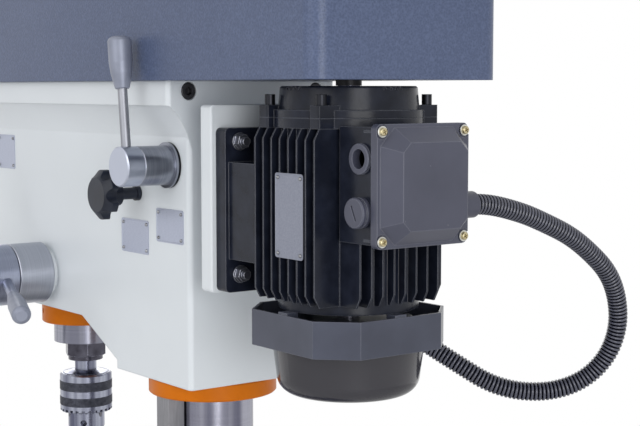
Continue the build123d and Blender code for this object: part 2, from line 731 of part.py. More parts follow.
def head_outside():
    """Three long forms cut against each other, each longer than the head where another one ends it."""
    beyond = 10
    length = HEAD_REAR - HEAD_FRONT
    across = Plane.XZ * head_section(beyond)
    across = Pos(0, HEAD_REAR + beyond, 0) * extrude(across, amount=length + 2 * beyond, dir=(0, -1, 0))
    nose_z = HEAD_TOP - HEAD_NOSE_DROP
    side = Polygon(
        (HEAD_REAR + beyond, HEAD_TOP + beyond),
        (HEAD_REAR + beyond, HEAD_BOTTOM),
        (HEAD_STEP_Y, HEAD_BOTTOM),
        (HEAD_STEP_Y, HEAD_BOTTOM + HEAD_STEP_RISE),
        (HEAD_SLOPE_END_Y, nose_z),
        (HEAD_FRONT - beyond, nose_z),
        (HEAD_FRONT - beyond, HEAD_TOP + beyond),
        align=None,
    )
    width = FLANGE_RIGHT_X - FLANGE_LEFT_X
    profile = extrude(Plane.YZ * side, amount=width + 4 * beyond, dir=(1, 0, 0))
    profile = Pos(FLANGE_LEFT_X - 2 * beyond, 0, 0) * profile
    middle = Pos((FLANGE_LEFT_X + FLANGE_RIGHT_X) / 2, HEAD_FRONT + length / 2)
    outline = middle * Rectangle(width, length)
    outline = fillet(outline.vertices().group_by(Axis.Y)[-1], FLANGE_REAR_R)
    outline = fillet(outline.vertices().group_by(Axis.Y)[0], FLANGE_FRONT_R)
    body = across & profile & plan(outline, (HEAD_BOTTOM - beyond, HEAD_TOP))
    rear_walls = body.edges().filter_by(Axis.Z).group_by(Axis.Y)[-1]
    body = fillet([edge for edge in rear_walls if edge.length > HEAD_BOTTOM_DROP / 2], HEAD_REAR_EDGE_R)
    lower = body.edges().group_by(Axis.Z)[0].filter_by(Axis.Y)
    return fillet(lower, HEAD_EDGE_R)


def make_head_casting():
    body = head_outside()
    body += bar("x", FEED, FEED_BOSS_R, (HEAD_HALF_WIDTH - 1, FEED_WALL_X))
    cavity_floor = COLUMN_TOP + CAVITY_WALL
    lower_floor = HEAD_TOP - HEAD_NOSE_DROP + CAVITY_WALL
    inner = HEAD_HALF_WIDTH - CAVITY_WALL
    bar_bottom = BAR_Z - BAR_R - CAVITY_WALL / 2
    upper = (CAVITY_FRONT_Y, HEAD_REAR - CAVITY_REAR_WALL)
    body -= block((-CAVITY_UPPER_HALF_WIDTH, CAVITY_UPPER_HALF_WIDTH), upper, (cavity_floor, HEAD_TOP + 1))
    body -= block((-inner, inner), (CAVITY_FRONT_Y, CAVITY_LOWER_REAR_Y), (lower_floor, bar_bottom))
    body -= bar("z", (0, 0), COLUMN_R + SEATED, (HEAD_BOTTOM - 1, COLUMN_TOP))
    bearing_floor = HEAD_TOP - SLEEVE_BOTTOM_DROP
    body -= bar("z", SPINDLE, QUILL_R + RUNNING, (HEAD_BOTTOM - 1, bearing_floor + 1))
    body -= bar("z", SPINDLE, SLEEVE_BEARING_R + SEATED, (bearing_floor, HEAD_TOP + 1))
    body -= bar("x", FEED, FEED_JOURNAL_R + RUNNING, (-HEAD_HALF_WIDTH - 1, FEED_WALL_X + 1))
    bar_end = BAR_FRONT - MOTOR_TRAVEL - 8
    pinion_r = TENSION_PITCH_R + TENSION_MODULE + 1.0
    pinion_y = (TENSION_Y - pinion_r, TENSION_Y + pinion_r)
    for side in (-1, 1):
        body -= bar("y", (side * BAR_X, BAR_Z), BAR_R + RUNNING, (bar_end, HEAD_REAR + 1))
    recess_y = HEAD_REAR - FLANGE_SCREW_RECESS_DEPTH
    for screw_x in FLANGE_SCREW_X:
        screw = (screw_x, HEAD_TOP - FLANGE_SCREW_DROP)
        body -= bar("y", screw, FLANGE_SCREW_RECESS_R, (recess_y, HEAD_REAR + 1))
        body -= bar("y", screw, FLANGE_SCREW_R + SEATED, (recess_y - FLANGE_SCREW_LENGTH, recess_y + 1))
    pinion_x = (BAR_X - TENSION_PINION_WIDTH / 2 - 1, BAR_X + TENSION_PINION_WIDTH / 2 + 1)
    body -= bar("x", TENSION, pinion_r, pinion_x)
    body -= block(pinion_x, pinion_y, (TENSION_Z, HEAD_TOP + 1))
    body -= bar("x", TENSION, TENSION_SHAFT_R + RUNNING, (pinion_x[0], HEAD_HALF_WIDTH + 1))
    body -= bar("x", (LOCK_Y, BAR_Z), LOCK_STUD_R + RUNNING, (BAR_X, HEAD_HALF_WIDTH + 1))
    pivot_span = (HEAD_TOP - IDLER_PIVOT_DEPTH, HEAD_TOP + 1)
    body -= bar("z", (0, IDLER_PIVOT_Y), IDLER_PIVOT_R + RUNNING, pivot_span)
    return body


# Quill, spindle and chuck

def make_quill():
    body = bar("z", SPINDLE, QUILL_R, (QUILL_SHOULDER, QUILL_TOP))
    body += bar("z", SPINDLE, QUILL_NOSE_R, (QUILL_BOTTOM, QUILL_SHOULDER))
    body -= bar("z", SPINDLE, QUILL_BORE_R, (QUILL_BOTTOM - 1, QUILL_TOP + 1))
    body -= bar("z", SPINDLE, BEARING_R + SEATED, (QUILL_TOP - BEARING_HEIGHT, QUILL_TOP + 1))
    body -= bar("z", SPINDLE, BEARING_R + SEATED, (QUILL_BOTTOM - 1, QUILL_BOTTOM + BEARING_HEIGHT))
    half = QUILL_R + 1
    gap = extrude(Plane.YZ * Rot(0, 0, 180) * rack_gap(FEED_MODULE), amount=2 * half, dir=(1, 0, 0))
    pitch = pi * FEED_MODULE
    reach = FEED_PITCH_R + 2 * FEED_MODULE
    first = -round(reach / pitch)
    last = round((QUILL_TRAVEL + reach) / pitch)
    for index in range(first, last + 1):
        body -= Pos(-half, FEED_RACK_Y, FEED_Z + index * pitch) * gap
    return body


def make_quill_bearings():
    rings = []
    for low in (QUILL_TOP - BEARING_HEIGHT, QUILL_BOTTOM):
        span = (low, low + BEARING_HEIGHT)
        rings.append(tube("z", SPINDLE, BEARING_R, BEARING_BORE_R + SEATED, span))
    return rings


def make_stop_collar():
    low = QUILL_SHOULDER
    high = HEAD_TOP - HEAD_NOSE_DROP - APART
    body = bar("z", SPINDLE, STOP_COLLAR_R, (low, high))
    body = chamfer(body.edges().filter_by(GeomType.CIRCLE), 1.2)
    body -= bar("z", SPINDLE, QUILL_R + SEATED, (low - 1, high + 1))
    turn = radians(STOP_SCREW_TURN)
    middle = (low + high) / 2
    hole = Plane((0, SPINDLE_Y, middle), z_dir=(cos(turn), sin(turn), 0))
    body -= hole * Pos(0, 0, STOP_COLLAR_R) * Cylinder(STOP_SCREW_R, 2 * (STOP_COLLAR_R - QUILL_R) - 2)
    slit = (-STOP_COLLAR_SLIT / 2, STOP_COLLAR_SLIT / 2)
    body -= block(slit, (SPINDLE_Y - STOP_COLLAR_R - 1, SPINDLE_Y), (low - 1, high + 1))
    return body


def make_spindle():
    top = HEAD_TOP + SPINDLE_TOP_RISE
    shoulder = QUILL_TOP + 2
    body = bar("z", SPINDLE, BEARING_BORE_R, (QUILL_BOTTOM - APART, shoulder))
    body += bar("z", SPINDLE, SPINDLE_NOSE_R, (NOSE_BOTTOM, QUILL_BOTTOM - APART))
    body += Pos(0, SPINDLE_Y, 0) * plan(splined_outline(0), (shoulder, top))
    body -= bar("z", SPINDLE, ARBOR_R + SEATED, (NOSE_BOTTOM - 1, NOSE_BOTTOM + ARBOR_LENGTH))
    return body


def make_spindle_nut():
    top = QUILL_BOTTOM - 2 * APART
    low = top - NUT_HEIGHT
    body = prism("z", SPINDLE, NUT_ACROSS_CORNERS / 2, 6, (low, top), NUT_TURN)
    round_off = turned("z", SPINDLE, [
        (0, low), (NUT_ACROSS_CORNERS / 2 - 2.5, low), (NUT_ACROSS_CORNERS / 2, low + 1.5),
        (NUT_ACROSS_CORNERS / 2, top - 1.5), (NUT_ACROSS_CORNERS / 2 - 2.5, top), (0, top),
    ])
    body &= round_off
    body += bar("z", SPINDLE, NUT_FLANGE_R, (low - NUT_FLANGE_HEIGHT, low))
    body -= bar("z", SPINDLE, SPINDLE_NOSE_R + SEATED, (low - NUT_FLANGE_HEIGHT - 1, top + 1))
    return body


def jaw_axis(index):
    """Plane at a jaw's tip, with its Z axis along the jaw, up and away from the spindle."""
    turn = radians(JAW_TURN + 120 * index)
    tilt = radians(JAW_TILT)
    tip = (JAW_TIP_RADIUS * cos(turn), SPINDLE_Y + JAW_TIP_RADIUS * sin(turn), CHUCK_BOTTOM - JAW_STANDOUT)
    way = (sin(tilt) * cos(turn), sin(tilt) * sin(turn), cos(tilt))
    return Plane(tip, z_dir=way)


def make_chuck_body():
    cone_top = NOSE_BOTTOM - CHUCK_NECK_LENGTH
    body = turned("z", SPINDLE, [
        (0, CHUCK_BOTTOM),
        (CHUCK_NOSE_R - 3.5, CHUCK_BOTTOM),
        (CHUCK_NOSE_R, CHUCK_BOTTOM + 9),
        (CHUCK_NOSE_R, CHUCK_NOSE_TOP),
        (CHUCK_CORE_R, CHUCK_NOSE_TOP),
        (CHUCK_CORE_R, CHUCK_CONE_BOTTOM),
        (CHUCK_SLEEVE_R - 3.5, CHUCK_CONE_BOTTOM),
        (CHUCK_NECK_R + 3, cone_top),
        (CHUCK_NECK_R, cone_top),
        (CHUCK_NECK_R, NOSE_BOTTOM),
        (ARBOR_R, NOSE_BOTTOM),
        (ARBOR_R, NOSE_BOTTOM + ARBOR_LENGTH - 2),
        (0, NOSE_BOTTOM + ARBOR_LENGTH - 2),
    ])
    for index in range(len(JAW_NAMES)):
        body -= jaw_axis(index) * Pos(0, 0, JAW_LENGTH / 2) * Cylinder(JAW_R + RUNNING, JAW_LENGTH + 40)
        turn = radians(JAW_TURN - 60 + 120 * index)
        key_hole = Plane((0, SPINDLE_Y, CHUCK_NOSE_TOP - 12), z_dir=(cos(turn), sin(turn), 0))
        body -= key_hole * Pos(0, 0, CHUCK_NOSE_R) * Cylinder(CHUCK_KEY_HOLE_R, 16)
    body -= bar("z", SPINDLE, JAW_TIP_RADIUS, (CHUCK_BOTTOM - 1, CHUCK_BOTTOM + 22))
    return body


def make_chuck_sleeve():
    low = CHUCK_SLEEVE_BOTTOM
    high = low + CHUCK_SLEEVE_HEIGHT
    ceiling = low + CHUCK_SLEEVE_LIP + CHUCK_CAVITY_HEIGHT
    inner = CHUCK_CORE_R + RUNNING
    body = turned("z", SPINDLE, [
        (CHUCK_LIP_R, low),
        (CHUCK_SLEEVE_R - 1.5, low),
        (CHUCK_SLEEVE_R, low + 1.5),
        (CHUCK_SLEEVE_R, high - 2),
        (CHUCK_SLEEVE_R - 2, high),
        (inner, high),
        (inner, ceiling),
        (CHUCK_CAVITY_R, ceiling),
        (CHUCK_CAVITY_R, low + CHUCK_SLEEVE_LIP),
        (CHUCK_LIP_R, low + CHUCK_SLEEVE_LIP),
    ])
    tooth_gap = pi * CHUCK_SLEEVE_R / CHUCK_TEETH
    reach = 2 * (CHUCK_SLEEVE_R - CHUCK_LIP_R) + 2
    notch = Pos(CHUCK_SLEEVE_R, 0, low) * Box(reach, tooth_gap, 2 * CHUCK_TOOTH_DEPTH)
    notches = [Pos(0, SPINDLE_Y, 0) * Rot(0, 0, 360 * n / CHUCK_TEETH) * notch for n in range(CHUCK_TEETH)]
    return body - notches


def make_chuck_jaw(index):
    body = jaw_axis(index) * Pos(0, 0, JAW_LENGTH / 2) * Cylinder(JAW_R, JAW_LENGTH)
    grip_r = JAW_TIP_RADIUS - JAW_R + 0.4
    return body - bar("z", SPINDLE, grip_r, (CHUCK_BOTTOM - JAW_LENGTH, CHUCK_CONE_BOTTOM))


# Feed

def make_feed_shaft():
    teeth = FEED_TOOTHED_HALF_WIDTH
    left = -HEAD_HALF_WIDTH - SPRING_HOUSING_LENGTH + SPRING_HOUSING_WALL + 2
    body = bar("x", FEED, FEED_JOURNAL_R, (left, -teeth))
    body += bar("x", FEED, FEED_JOURNAL_R, (teeth, FEED_HUB_END_X - 6))
    outline = Rot(0, 0, -90) * gear_outline(FEED_MODULE, FEED_PINION_TEETH)
    body += along("x", FEED) * Pos(0, 0, -teeth) * extrude(outline, amount=2 * teeth)
    return body


def spoke_plane(index):
    """Plane at the hub's axis with its Z axis along a spoke, leaning outwards."""
    turn = radians(SPOKE_START_TURN + 360 * index / SPOKE_COUNT)
    tilt = radians(SPOKE_TILT)
    way = (sin(tilt), cos(tilt) * cos(turn), cos(tilt) * sin(turn))
    middle = DEPTH_RING_END_X + APART + FEED_HUB_LENGTH / 2
    start = middle - FEED_HUB_R * tan(tilt)
    return Plane((start, FEED_Y, FEED_Z), z_dir=way)


def make_depth_ring():
    span = (FEED_WALL_X + APART, DEPTH_RING_END_X)
    body = bar("x", FEED, DEPTH_RING_R, span)
    body = chamfer(body.edges().filter_by(GeomType.CIRCLE), 0.8)
    return body - bar("x", FEED, FEED_CORE_R + RUNNING, (span[0] - 1, span[1] + 1))


def make_feed_hub():
    start = DEPTH_RING_END_X + APART
    body = bar("x", FEED, FEED_HUB_R, (start, FEED_HUB_END_X))
    body = chamfer(body.edges().filter_by(GeomType.CIRCLE), 1.2)
    body += bar("x", FEED, FEED_CORE_R, (FEED_WALL_X + 2 * APART, start + 1))
    body -= bar("x", FEED, FEED_JOURNAL_R + SEATED, (FEED_WALL_X, FEED_HUB_END_X - 6))
    for index in range(SPOKE_COUNT):
        body -= spoke_plane(index) * Pos(0, 0, spoke_start() + SPOKE_LENGTH / 2) * Cylinder(
            SPOKE_R + SEATED, SPOKE_LENGTH)
    return body


def spoke_start():
    return FEED_HUB_R / cos(radians(SPOKE_TILT)) - SPOKE_SEAT


def make_feed_spokes():
    return [
        spoke_plane(index) * Pos(0, 0, spoke_start() + SPOKE_LENGTH / 2) * Cylinder(SPOKE_R, SPOKE_LENGTH)
        for index in range(SPOKE_COUNT)
    ]


def tapered_grip(root_r, end_r, length, bore_r, seat):
    """Turned grip along +Z from z = 0, swelling to a long barrel with a domed end, bored for its rod."""
    body = turned("z", (0, 0), [
        (0, 0), (root_r - 0.8, 0), (root_r, 0.8), (0.9 * end_r, 0.3 * length), (end_r, 0.5 * length),
        (end_r, length - 4), (end_r - 1.2, length - 1.6), (end_r - 4, length), (0, length),
    ])
    return body - bar("z", (0, 0), bore_r, (-1, seat))


def make_feed_handles():
    start = spoke_start() + SPOKE_LENGTH - HANDLE_SEAT
    grip = tapered_grip(HANDLE_ROOT_R, HANDLE_END_R, HANDLE_LENGTH, SPOKE_R + SEATED, HANDLE_SEAT)
    return [spoke_plane(index) * Pos(0, 0, start) * grip for index in range(SPOKE_COUNT)]


def make_spring_housing():
    left = -HEAD_HALF_WIDTH - SPRING_HOUSING_LENGTH
    body = bar("x", FEED, SPRING_HOUSING_R, (left, -HEAD_HALF_WIDTH))
    body = fillet(body.edges().group_by(Axis.X)[0], 4)
    hollow = (left + SPRING_HOUSING_WALL, -HEAD_HALF_WIDTH + 1)
    return body - bar("x", FEED, SPRING_HOUSING_R - SPRING_HOUSING_WALL, hollow)


def make_return_spring():
    outer = SPRING_HOUSING_R - SPRING_HOUSING_WALL - APART
    inner = FEED_JOURNAL_R + SPRING_STRIP
    steps = 24 * SPRING_TURNS
    edge = []
    for index in range(steps + 1):
        turn = 2 * pi * SPRING_TURNS * index / steps
        radius = inner + (outer - SPRING_STRIP - inner) * index / steps
        edge.append((turn, radius))
    points = [(radius * cos(turn), radius * sin(turn)) for turn, radius in edge]
    back = [((radius + SPRING_STRIP) * cos(turn), (radius + SPRING_STRIP) * sin(turn))
            for turn, radius in reversed(edge)]
    strip = make_face(Polyline(*points, *back, close=True))
    start = -HEAD_HALF_WIDTH - SPRING_WIDTH - 2
    return along("x", FEED) * Pos(0, 0, start) * extrude(strip, amount=SPRING_WIDTH, dir=(0, 0, 1))


# Belt cover and pan

def cover_outline(inset):
    left = COVER_LEFT_X + inset
    right = COVER_RIGHT_X - inset
    front = COVER_FRONT + inset
    rear = COVER_REAR - inset
    outline = Pos((left + right) / 2, (front + rear) / 2) * Rectangle(right - left, rear - front)
    outline = fillet(outline.vertices().group_by(Axis.Y)[-1], COVER_CORNER_R - inset)
    return fillet(outline.vertices().group_by(Axis.Y)[0], COVER_FRONT_R - inset)


def hinge_parts(y, cover):
    """Knuckles of one hinge: the pan's in the middle, the cover's on both sides."""
    axis = (HINGE_X, HEAD_TOP + HINGE_RISE)
    half = HINGE_KNUCKLE / 2
    if cover:
        spans = ((y - 2 * half, y - half - APART), (y + half + APART, y + 2 * half))
        inner_x = COVER_LEFT_X + COVER_WALL / 2
        bore = HINGE_PIN_R + RUNNING
    else:
        spans = ((y - half, y + half),)
        inner_x = COVER_LEFT_X + COVER_WALL + PAN_GAP + 4
        bore = HINGE_PIN_R + SEATED
    knuckles = []
    for span in spans:
        knuckle = bar("y", axis, HINGE_R, span)
        low = HEAD_TOP if not cover else HEAD_TOP + HINGE_RISE - 2
        knuckle += block((HINGE_X, inner_x), span, (low, HEAD_TOP + HINGE_RISE))
        knuckles.append(knuckle - bar("y", axis, bore, (span[0] - 1, span[1] + 1)))
    return knuckles


def make_belt_cover():
    outer = plan(cover_outline(0), (HEAD_TOP, HEAD_TOP + COVER_HEIGHT))
    outer = fillet(outer.edges().group_by(Axis.Z)[-1], COVER_TOP_R)
    inner = plan(cover_outline(COVER_WALL), (HEAD_TOP - 1, HEAD_TOP + COVER_HEIGHT - COVER_WALL))
    inner = fillet(inner.edges().group_by(Axis.Z)[-1], COVER_TOP_R - COVER_WALL)
    body = outer - inner
    gap = HINGE_KNUCKLE / 2 + 2
    notch_x = (COVER_LEFT_X - 1, COVER_LEFT_X + COVER_WALL + 1)
    for y in HINGE_Y:
        body -= block(notch_x, (y - gap, y + gap), (HEAD_TOP - 1, HEAD_TOP + HINGE_RISE + HINGE_R + 2))
        body += hinge_parts(y, True)
    return body


def make_belt_pan():
    inset = COVER_WALL + PAN_GAP
    body = plan(cover_outline(inset), (HEAD_TOP, HEAD_TOP + PAN_THICKNESS))
    body -= bar("z", SPINDLE, SLEEVE_BEARING_R, (HEAD_TOP - 1, HEAD_TOP + PAN_THICKNESS + 1))
    body -= bar("z", (0, IDLER_PIVOT_Y), IDLER_PIVOT_R + 1, (HEAD_TOP - 1, HEAD_TOP + PAN_THICKNESS + 1))
    slot = Pos(0, MOTOR_Y - MOTOR_TRAVEL / 2) * Rot(0, 0, 90) * SlotOverall(
        2 * PULLEY_HUB_R + MOTOR_TRAVEL + 8, 2 * PULLEY_HUB_R + 8)
    body -= plan(slot, (HEAD_TOP - 1, HEAD_TOP + PAN_THICKNESS + 1))
    pins = []
    for y in HINGE_Y:
        body += hinge_parts(y, False)
        pin_span = (y - HINGE_KNUCKLE, y + HINGE_KNUCKLE)
        pins.append(bar("y", (HINGE_X, HEAD_TOP + HINGE_RISE), HINGE_PIN_R, pin_span))
    return [body] + pins


# Belt drive

def stepped_pulley(at, radii, bore_r, low, hub_r):
    """Pulley with one grooved step per radius, from the lowest level up."""
    half = LEVEL_PITCH / 2
    body = bar("z", at, hub_r, (low, level_z(0) - half))
    for level, radius in enumerate(radii):
        middle = level_z(level)
        body += bar("z", at, radius, (middle - half, middle + half))
    for level, radius in enumerate(radii):
        middle = level_z(level)
        groove = (middle - GROOVE_WIDTH / 2, middle + GROOVE_WIDTH / 2)
        body -= tube("z", at, radius + LEVEL_PITCH, radius - GROOVE_DEPTH, groove)
    top = level_z(len(radii) - 1) + half
    return body - bar("z", at, bore_r, (low - 1, top + 1))


def make_spindle_pulley():
    low = HEAD_TOP - SLEEVE_BOTTOM_DROP
    high = level_z(len(SPINDLE_PULLEY_R) - 1) + LEVEL_PITCH / 2
    body = stepped_pulley(SPINDLE, SPINDLE_PULLEY_R, SPLINE_ROOT_R, low, SLEEVE_R)
    return body - Pos(0, SPINDLE_Y, 0) * plan(splined_outline(2 * RUNNING), (low - 1, high + 1))


def make_drive_bearings():
    rings = []
    low = HEAD_TOP - SLEEVE_BOTTOM_DROP
    for start in (low, HEAD_TOP - SLEEVE_BEARING_HEIGHT - 2):
        span = (start, start + SLEEVE_BEARING_HEIGHT)
        rings.append(tube("z", SPINDLE, SLEEVE_BEARING_R, SLEEVE_R + RUNNING, span))
    return rings


def make_idler_arm():
    low = HEAD_TOP + PAN_THICKNESS + APART
    high = low + IDLER_ARM_THICKNESS
    reach = IDLER_PIVOT_Y - IDLER_Y
    outline = Pos(0, (IDLER_PIVOT_Y + IDLER_Y) / 2) * Rot(0, 0, 90) * SlotOverall(
        reach + IDLER_ARM_WIDTH, IDLER_ARM_WIDTH)
    body = plan(outline, (low, high))
    pivot_low = HEAD_TOP - IDLER_PIVOT_DEPTH + 1
    body += bar("z", (0, IDLER_PIVOT_Y), IDLER_PIVOT_R, (pivot_low, low))
    pin_top = level_z(len(IDLER_PULLEY_R) - 1) + LEVEL_PITCH / 2 + 4
    body += bar("z", (0, IDLER_Y), IDLER_PIN_R, (high, pin_top))
    return body


def make_idler_pulley():
    low = HEAD_TOP + PAN_THICKNESS + IDLER_ARM_THICKNESS + 2 * APART
    return stepped_pulley((0, IDLER_Y), IDLER_PULLEY_R, IDLER_PIN_R + RUNNING, low, IDLER_PIN_R + 6)


def make_motor_pulley():
    low = DOME_TOP + APART
    return stepped_pulley(MOTOR, MOTOR_PULLEY_R, SHAFT_R + SEATED, low, PULLEY_HUB_R)


def belt(first_y, first_r, second_y, second_r, level):
    def loop(grow):
        rounds = [Pos(0, first_y) * Circle(first_r + grow), Pos(0, second_y) * Circle(second_r + grow)]
        return make_hull(rounds[0].edges() + rounds[1].edges())

    inside = APART - GROOVE_DEPTH
    span = (level_z(level) - BELT_WIDTH / 2, level_z(level) + BELT_WIDTH / 2)
    return plan(loop(inside + BELT_THICKNESS), span) - plan(loop(inside), span)


def make_v_belts():
    front = FRONT_BELT_LEVEL
    rear = REAR_BELT_LEVEL
    return [
        belt(SPINDLE_Y, SPINDLE_PULLEY_R[front], IDLER_Y, IDLER_PULLEY_R[front], front),
        belt(IDLER_Y, IDLER_PULLEY_R[rear], MOTOR_Y, MOTOR_PULLEY_R[rear], rear),
    ]


# Motor slide, tension lever, lock knob

def make_slide_bars():
    bars = []
    gap = extrude(Plane.YZ * Rot(0, 0, -90) * rack_gap(TENSION_MODULE), amount=3 * BAR_R, dir=(1, 0, 0))
    pitch = pi * TENSION_MODULE
    span = MOTOR_TRAVEL + 2 * TENSION_PITCH_R
    for side in (-1, 1):
        slide = bar("y", (side * BAR_X, BAR_Z), BAR_R, (BAR_FRONT, PLATE_FRONT + BAR_SEAT))
        if side > 0:
            flat = (TENSION_Y - TENSION_PITCH_R, TENSION_Y - TENSION_PITCH_R + span)
            slide -= block((BAR_X - BAR_R, BAR_X + BAR_R), flat, (BAR_TOOTH_TIP_Z, BAR_Z + BAR_R + 1))
            for index in range(-round(TENSION_PITCH_R / pitch) + 1, round((span - TENSION_PITCH_R) / pitch)):
                slide -= Pos(BAR_X - 1.5 * BAR_R, TENSION_Y + index * pitch, BAR_TOOTH_TIP_Z) * gap
        bars.append(slide)
    return bars


def make_motor_plate():
    low = HEAD_TOP - PLATE_BOTTOM_DROP
    high = HEAD_TOP - PLATE_TOP_DROP
    body = block((-PLATE_HALF_WIDTH, PLATE_HALF_WIDTH), (PLATE_FRONT, PLATE_REAR), (low, high))
    body = fillet(body.edges().filter_by(Axis.Y), PLATE_EDGE_R)
    body = fillet(body.edges().group_by(Axis.Y)[-1], 1.5)
    for side in (-1, 1):
        body -= bar("y", (side * BAR_X, BAR_Z), BAR_R + SEATED, (PLATE_FRONT - 1, PLATE_FRONT + BAR_SEAT))
    for at in foot_bolt_places():
        body -= bar("y", at, FOOT_BOLT_R + SEATED, (PLATE_FRONT + 3, PLATE_REAR + 1))
    return body


def foot_bolt_places():
    return [
        (side * FOOT_BOLT_X, HEAD_TOP - drop)
        for side in (-1, 1)
        for drop in (FOOT_BOLT_TOP_DROP, FOOT_BOLT_BOTTOM_DROP)
    ]


def lever_plane():
    lean = radians(LEVER_LEAN)
    x = HEAD_HALF_WIDTH + TENSION_RING_LENGTH + TENSION_HUB_LENGTH - TENSION_CAP_LENGTH / 2
    return Plane((x, TENSION_Y, TENSION_Z), z_dir=(0, -sin(lean), cos(lean)))


def make_tension_hub():
    width = TENSION_PINION_WIDTH
    ring_x = HEAD_HALF_WIDTH + APART
    hub_x = ring_x + TENSION_RING_LENGTH
    end_x = hub_x + TENSION_HUB_LENGTH
    cap_x = end_x - TENSION_CAP_LENGTH
    profile = [
        (0, BAR_X + width / 2), (TENSION_SHAFT_R, BAR_X + width / 2), (TENSION_SHAFT_R, ring_x),
        (TENSION_RING_R, ring_x), (TENSION_RING_R, hub_x), (TENSION_HUB_R, hub_x),
        (TENSION_HUB_R, cap_x - TENSION_GROOVE), (TENSION_HUB_R - TENSION_GROOVE, cap_x),
        (TENSION_HUB_R, cap_x + TENSION_GROOVE), (TENSION_HUB_R, end_x - 1.2), (TENSION_HUB_R - 1.2, end_x),
        (0, end_x),
    ]
    body = turned("x", TENSION, profile)
    outline = gear_outline(TENSION_MODULE, TENSION_TEETH)
    body += along("x", TENSION) * Pos(0, 0, BAR_X - width / 2) * extrude(outline, amount=width)
    seat = lever_plane() * Pos(0, 0, TENSION_HUB_R - LEVER_SEAT)
    return body - seat * Pos(0, 0, LEVER_LENGTH / 2) * Cylinder(LEVER_R + SEATED, LEVER_LENGTH)


def make_tension_lever():
    start = TENSION_HUB_R - LEVER_SEAT
    return lever_plane() * Pos(0, 0, start + LEVER_LENGTH / 2) * Cylinder(LEVER_R, LEVER_LENGTH)


def make_tension_grip():
    grip = tapered_grip(GRIP_ROOT_R, GRIP_END_R, GRIP_LENGTH, LEVER_R + SEATED, GRIP_SEAT)
    start = TENSION_HUB_R - LEVER_SEAT + LEVER_LENGTH - GRIP_SEAT
    return lever_plane() * Pos(0, 0, start) * grip


def make_lock_knob():
    at = (LOCK_Y, BAR_Z)
    start = BAR_X + BAR_R + APART
    boss_x = HEAD_HALF_WIDTH + LOCK_STUD_LENGTH - LOCK_BOSS_LENGTH
    star_x = boss_x + LOCK_BOSS_LENGTH
    body = bar("x", at, LOCK_STUD_R, (start, boss_x))
    body += bar("x", at, LOCK_STUD_R + 1.5, (HEAD_HALF_WIDTH + APART, HEAD_HALF_WIDTH + 4))
    body += bar("x", at, LOCK_BOSS_R, (boss_x, star_x))
    star = Circle(LOCK_STAR_R)
    scallop_r = LOCK_STAR_R * 0.3
    for lobe in range(LOCK_LOBES):
        turn = 2 * pi * (lobe + 0.5) / LOCK_LOBES
        reach = LOCK_STAR_R + scallop_r * 0.15
        star -= Pos(reach * cos(turn), reach * sin(turn)) * Circle(scallop_r)
    star = fillet(star.vertices(), 2.5)
    crown = turned("z", (0, 0), [
        (0, -1), (LOCK_STAR_R + 1, -1), (LOCK_STAR_R + 1, LOCK_STAR_LENGTH - LOCK_CROWN),
        (LOCK_FACE_R, LOCK_STAR_LENGTH), (0, LOCK_STAR_LENGTH),
    ])
    head = extrude(star, amount=LOCK_STAR_LENGTH + 1) & crown
    return body + along("x", at) * Pos(0, 0, star_x) * head


# Motor

def lug_places():
    return [(x, MOTOR_Y + y) for x in (-LUG_SCREW_X, LUG_SCREW_X) for y in (-LUG_SCREW_Y, LUG_SCREW_Y)]


def lug_outlines(grow):
    """The lugs as two bars across the motor, in front of its axis and behind it, grown by a clearance."""
    lug = RectangleRounded(2 * (LUG_REACH + grow), 2 * (LUG_HALF_WIDTH + grow), 1.5)
    return [Pos(0, MOTOR_Y + y) * lug for y in (-LUG_SCREW_Y, LUG_SCREW_Y)]


def lugged_rim(span, rise):
    body = bar("z", MOTOR, RIM_R, span)
    for lug in lug_outlines(0):
        body += plan(lug, (span[0], span[1] + rise))
    return body


def fin_rows():
    """Upright cooling fins on the left, right and rear sides, with their tip corners cut off."""
    flank = Polygon(
        (0, FIN_BOTTOM), (FIN_REACH - FIN_CHAMFER_DEPTH, FIN_BOTTOM), (FIN_REACH, FIN_BOTTOM + FIN_CHAMFER),
        (FIN_REACH, FIN_TOP - FIN_CHAMFER), (FIN_REACH - FIN_CHAMFER_DEPTH, FIN_TOP), (0, FIN_TOP),
        align=None,
    )
    fin = extrude(Plane.XZ * flank, amount=FIN_THICKNESS, dir=(0, -1, 0))
    fin = Pos(0, FIN_THICKNESS / 2, 0) * fin
    fins = []
    for turn in (0, 90, 180):
        for index in range(FIN_COUNT):
            offset = (index - (FIN_COUNT - 1) / 2) * FIN_PITCH
            fins.append(Pos(0, MOTOR_Y, 0) * Rot(0, 0, turn) * Pos(0, offset, 0) * fin)
    return fins


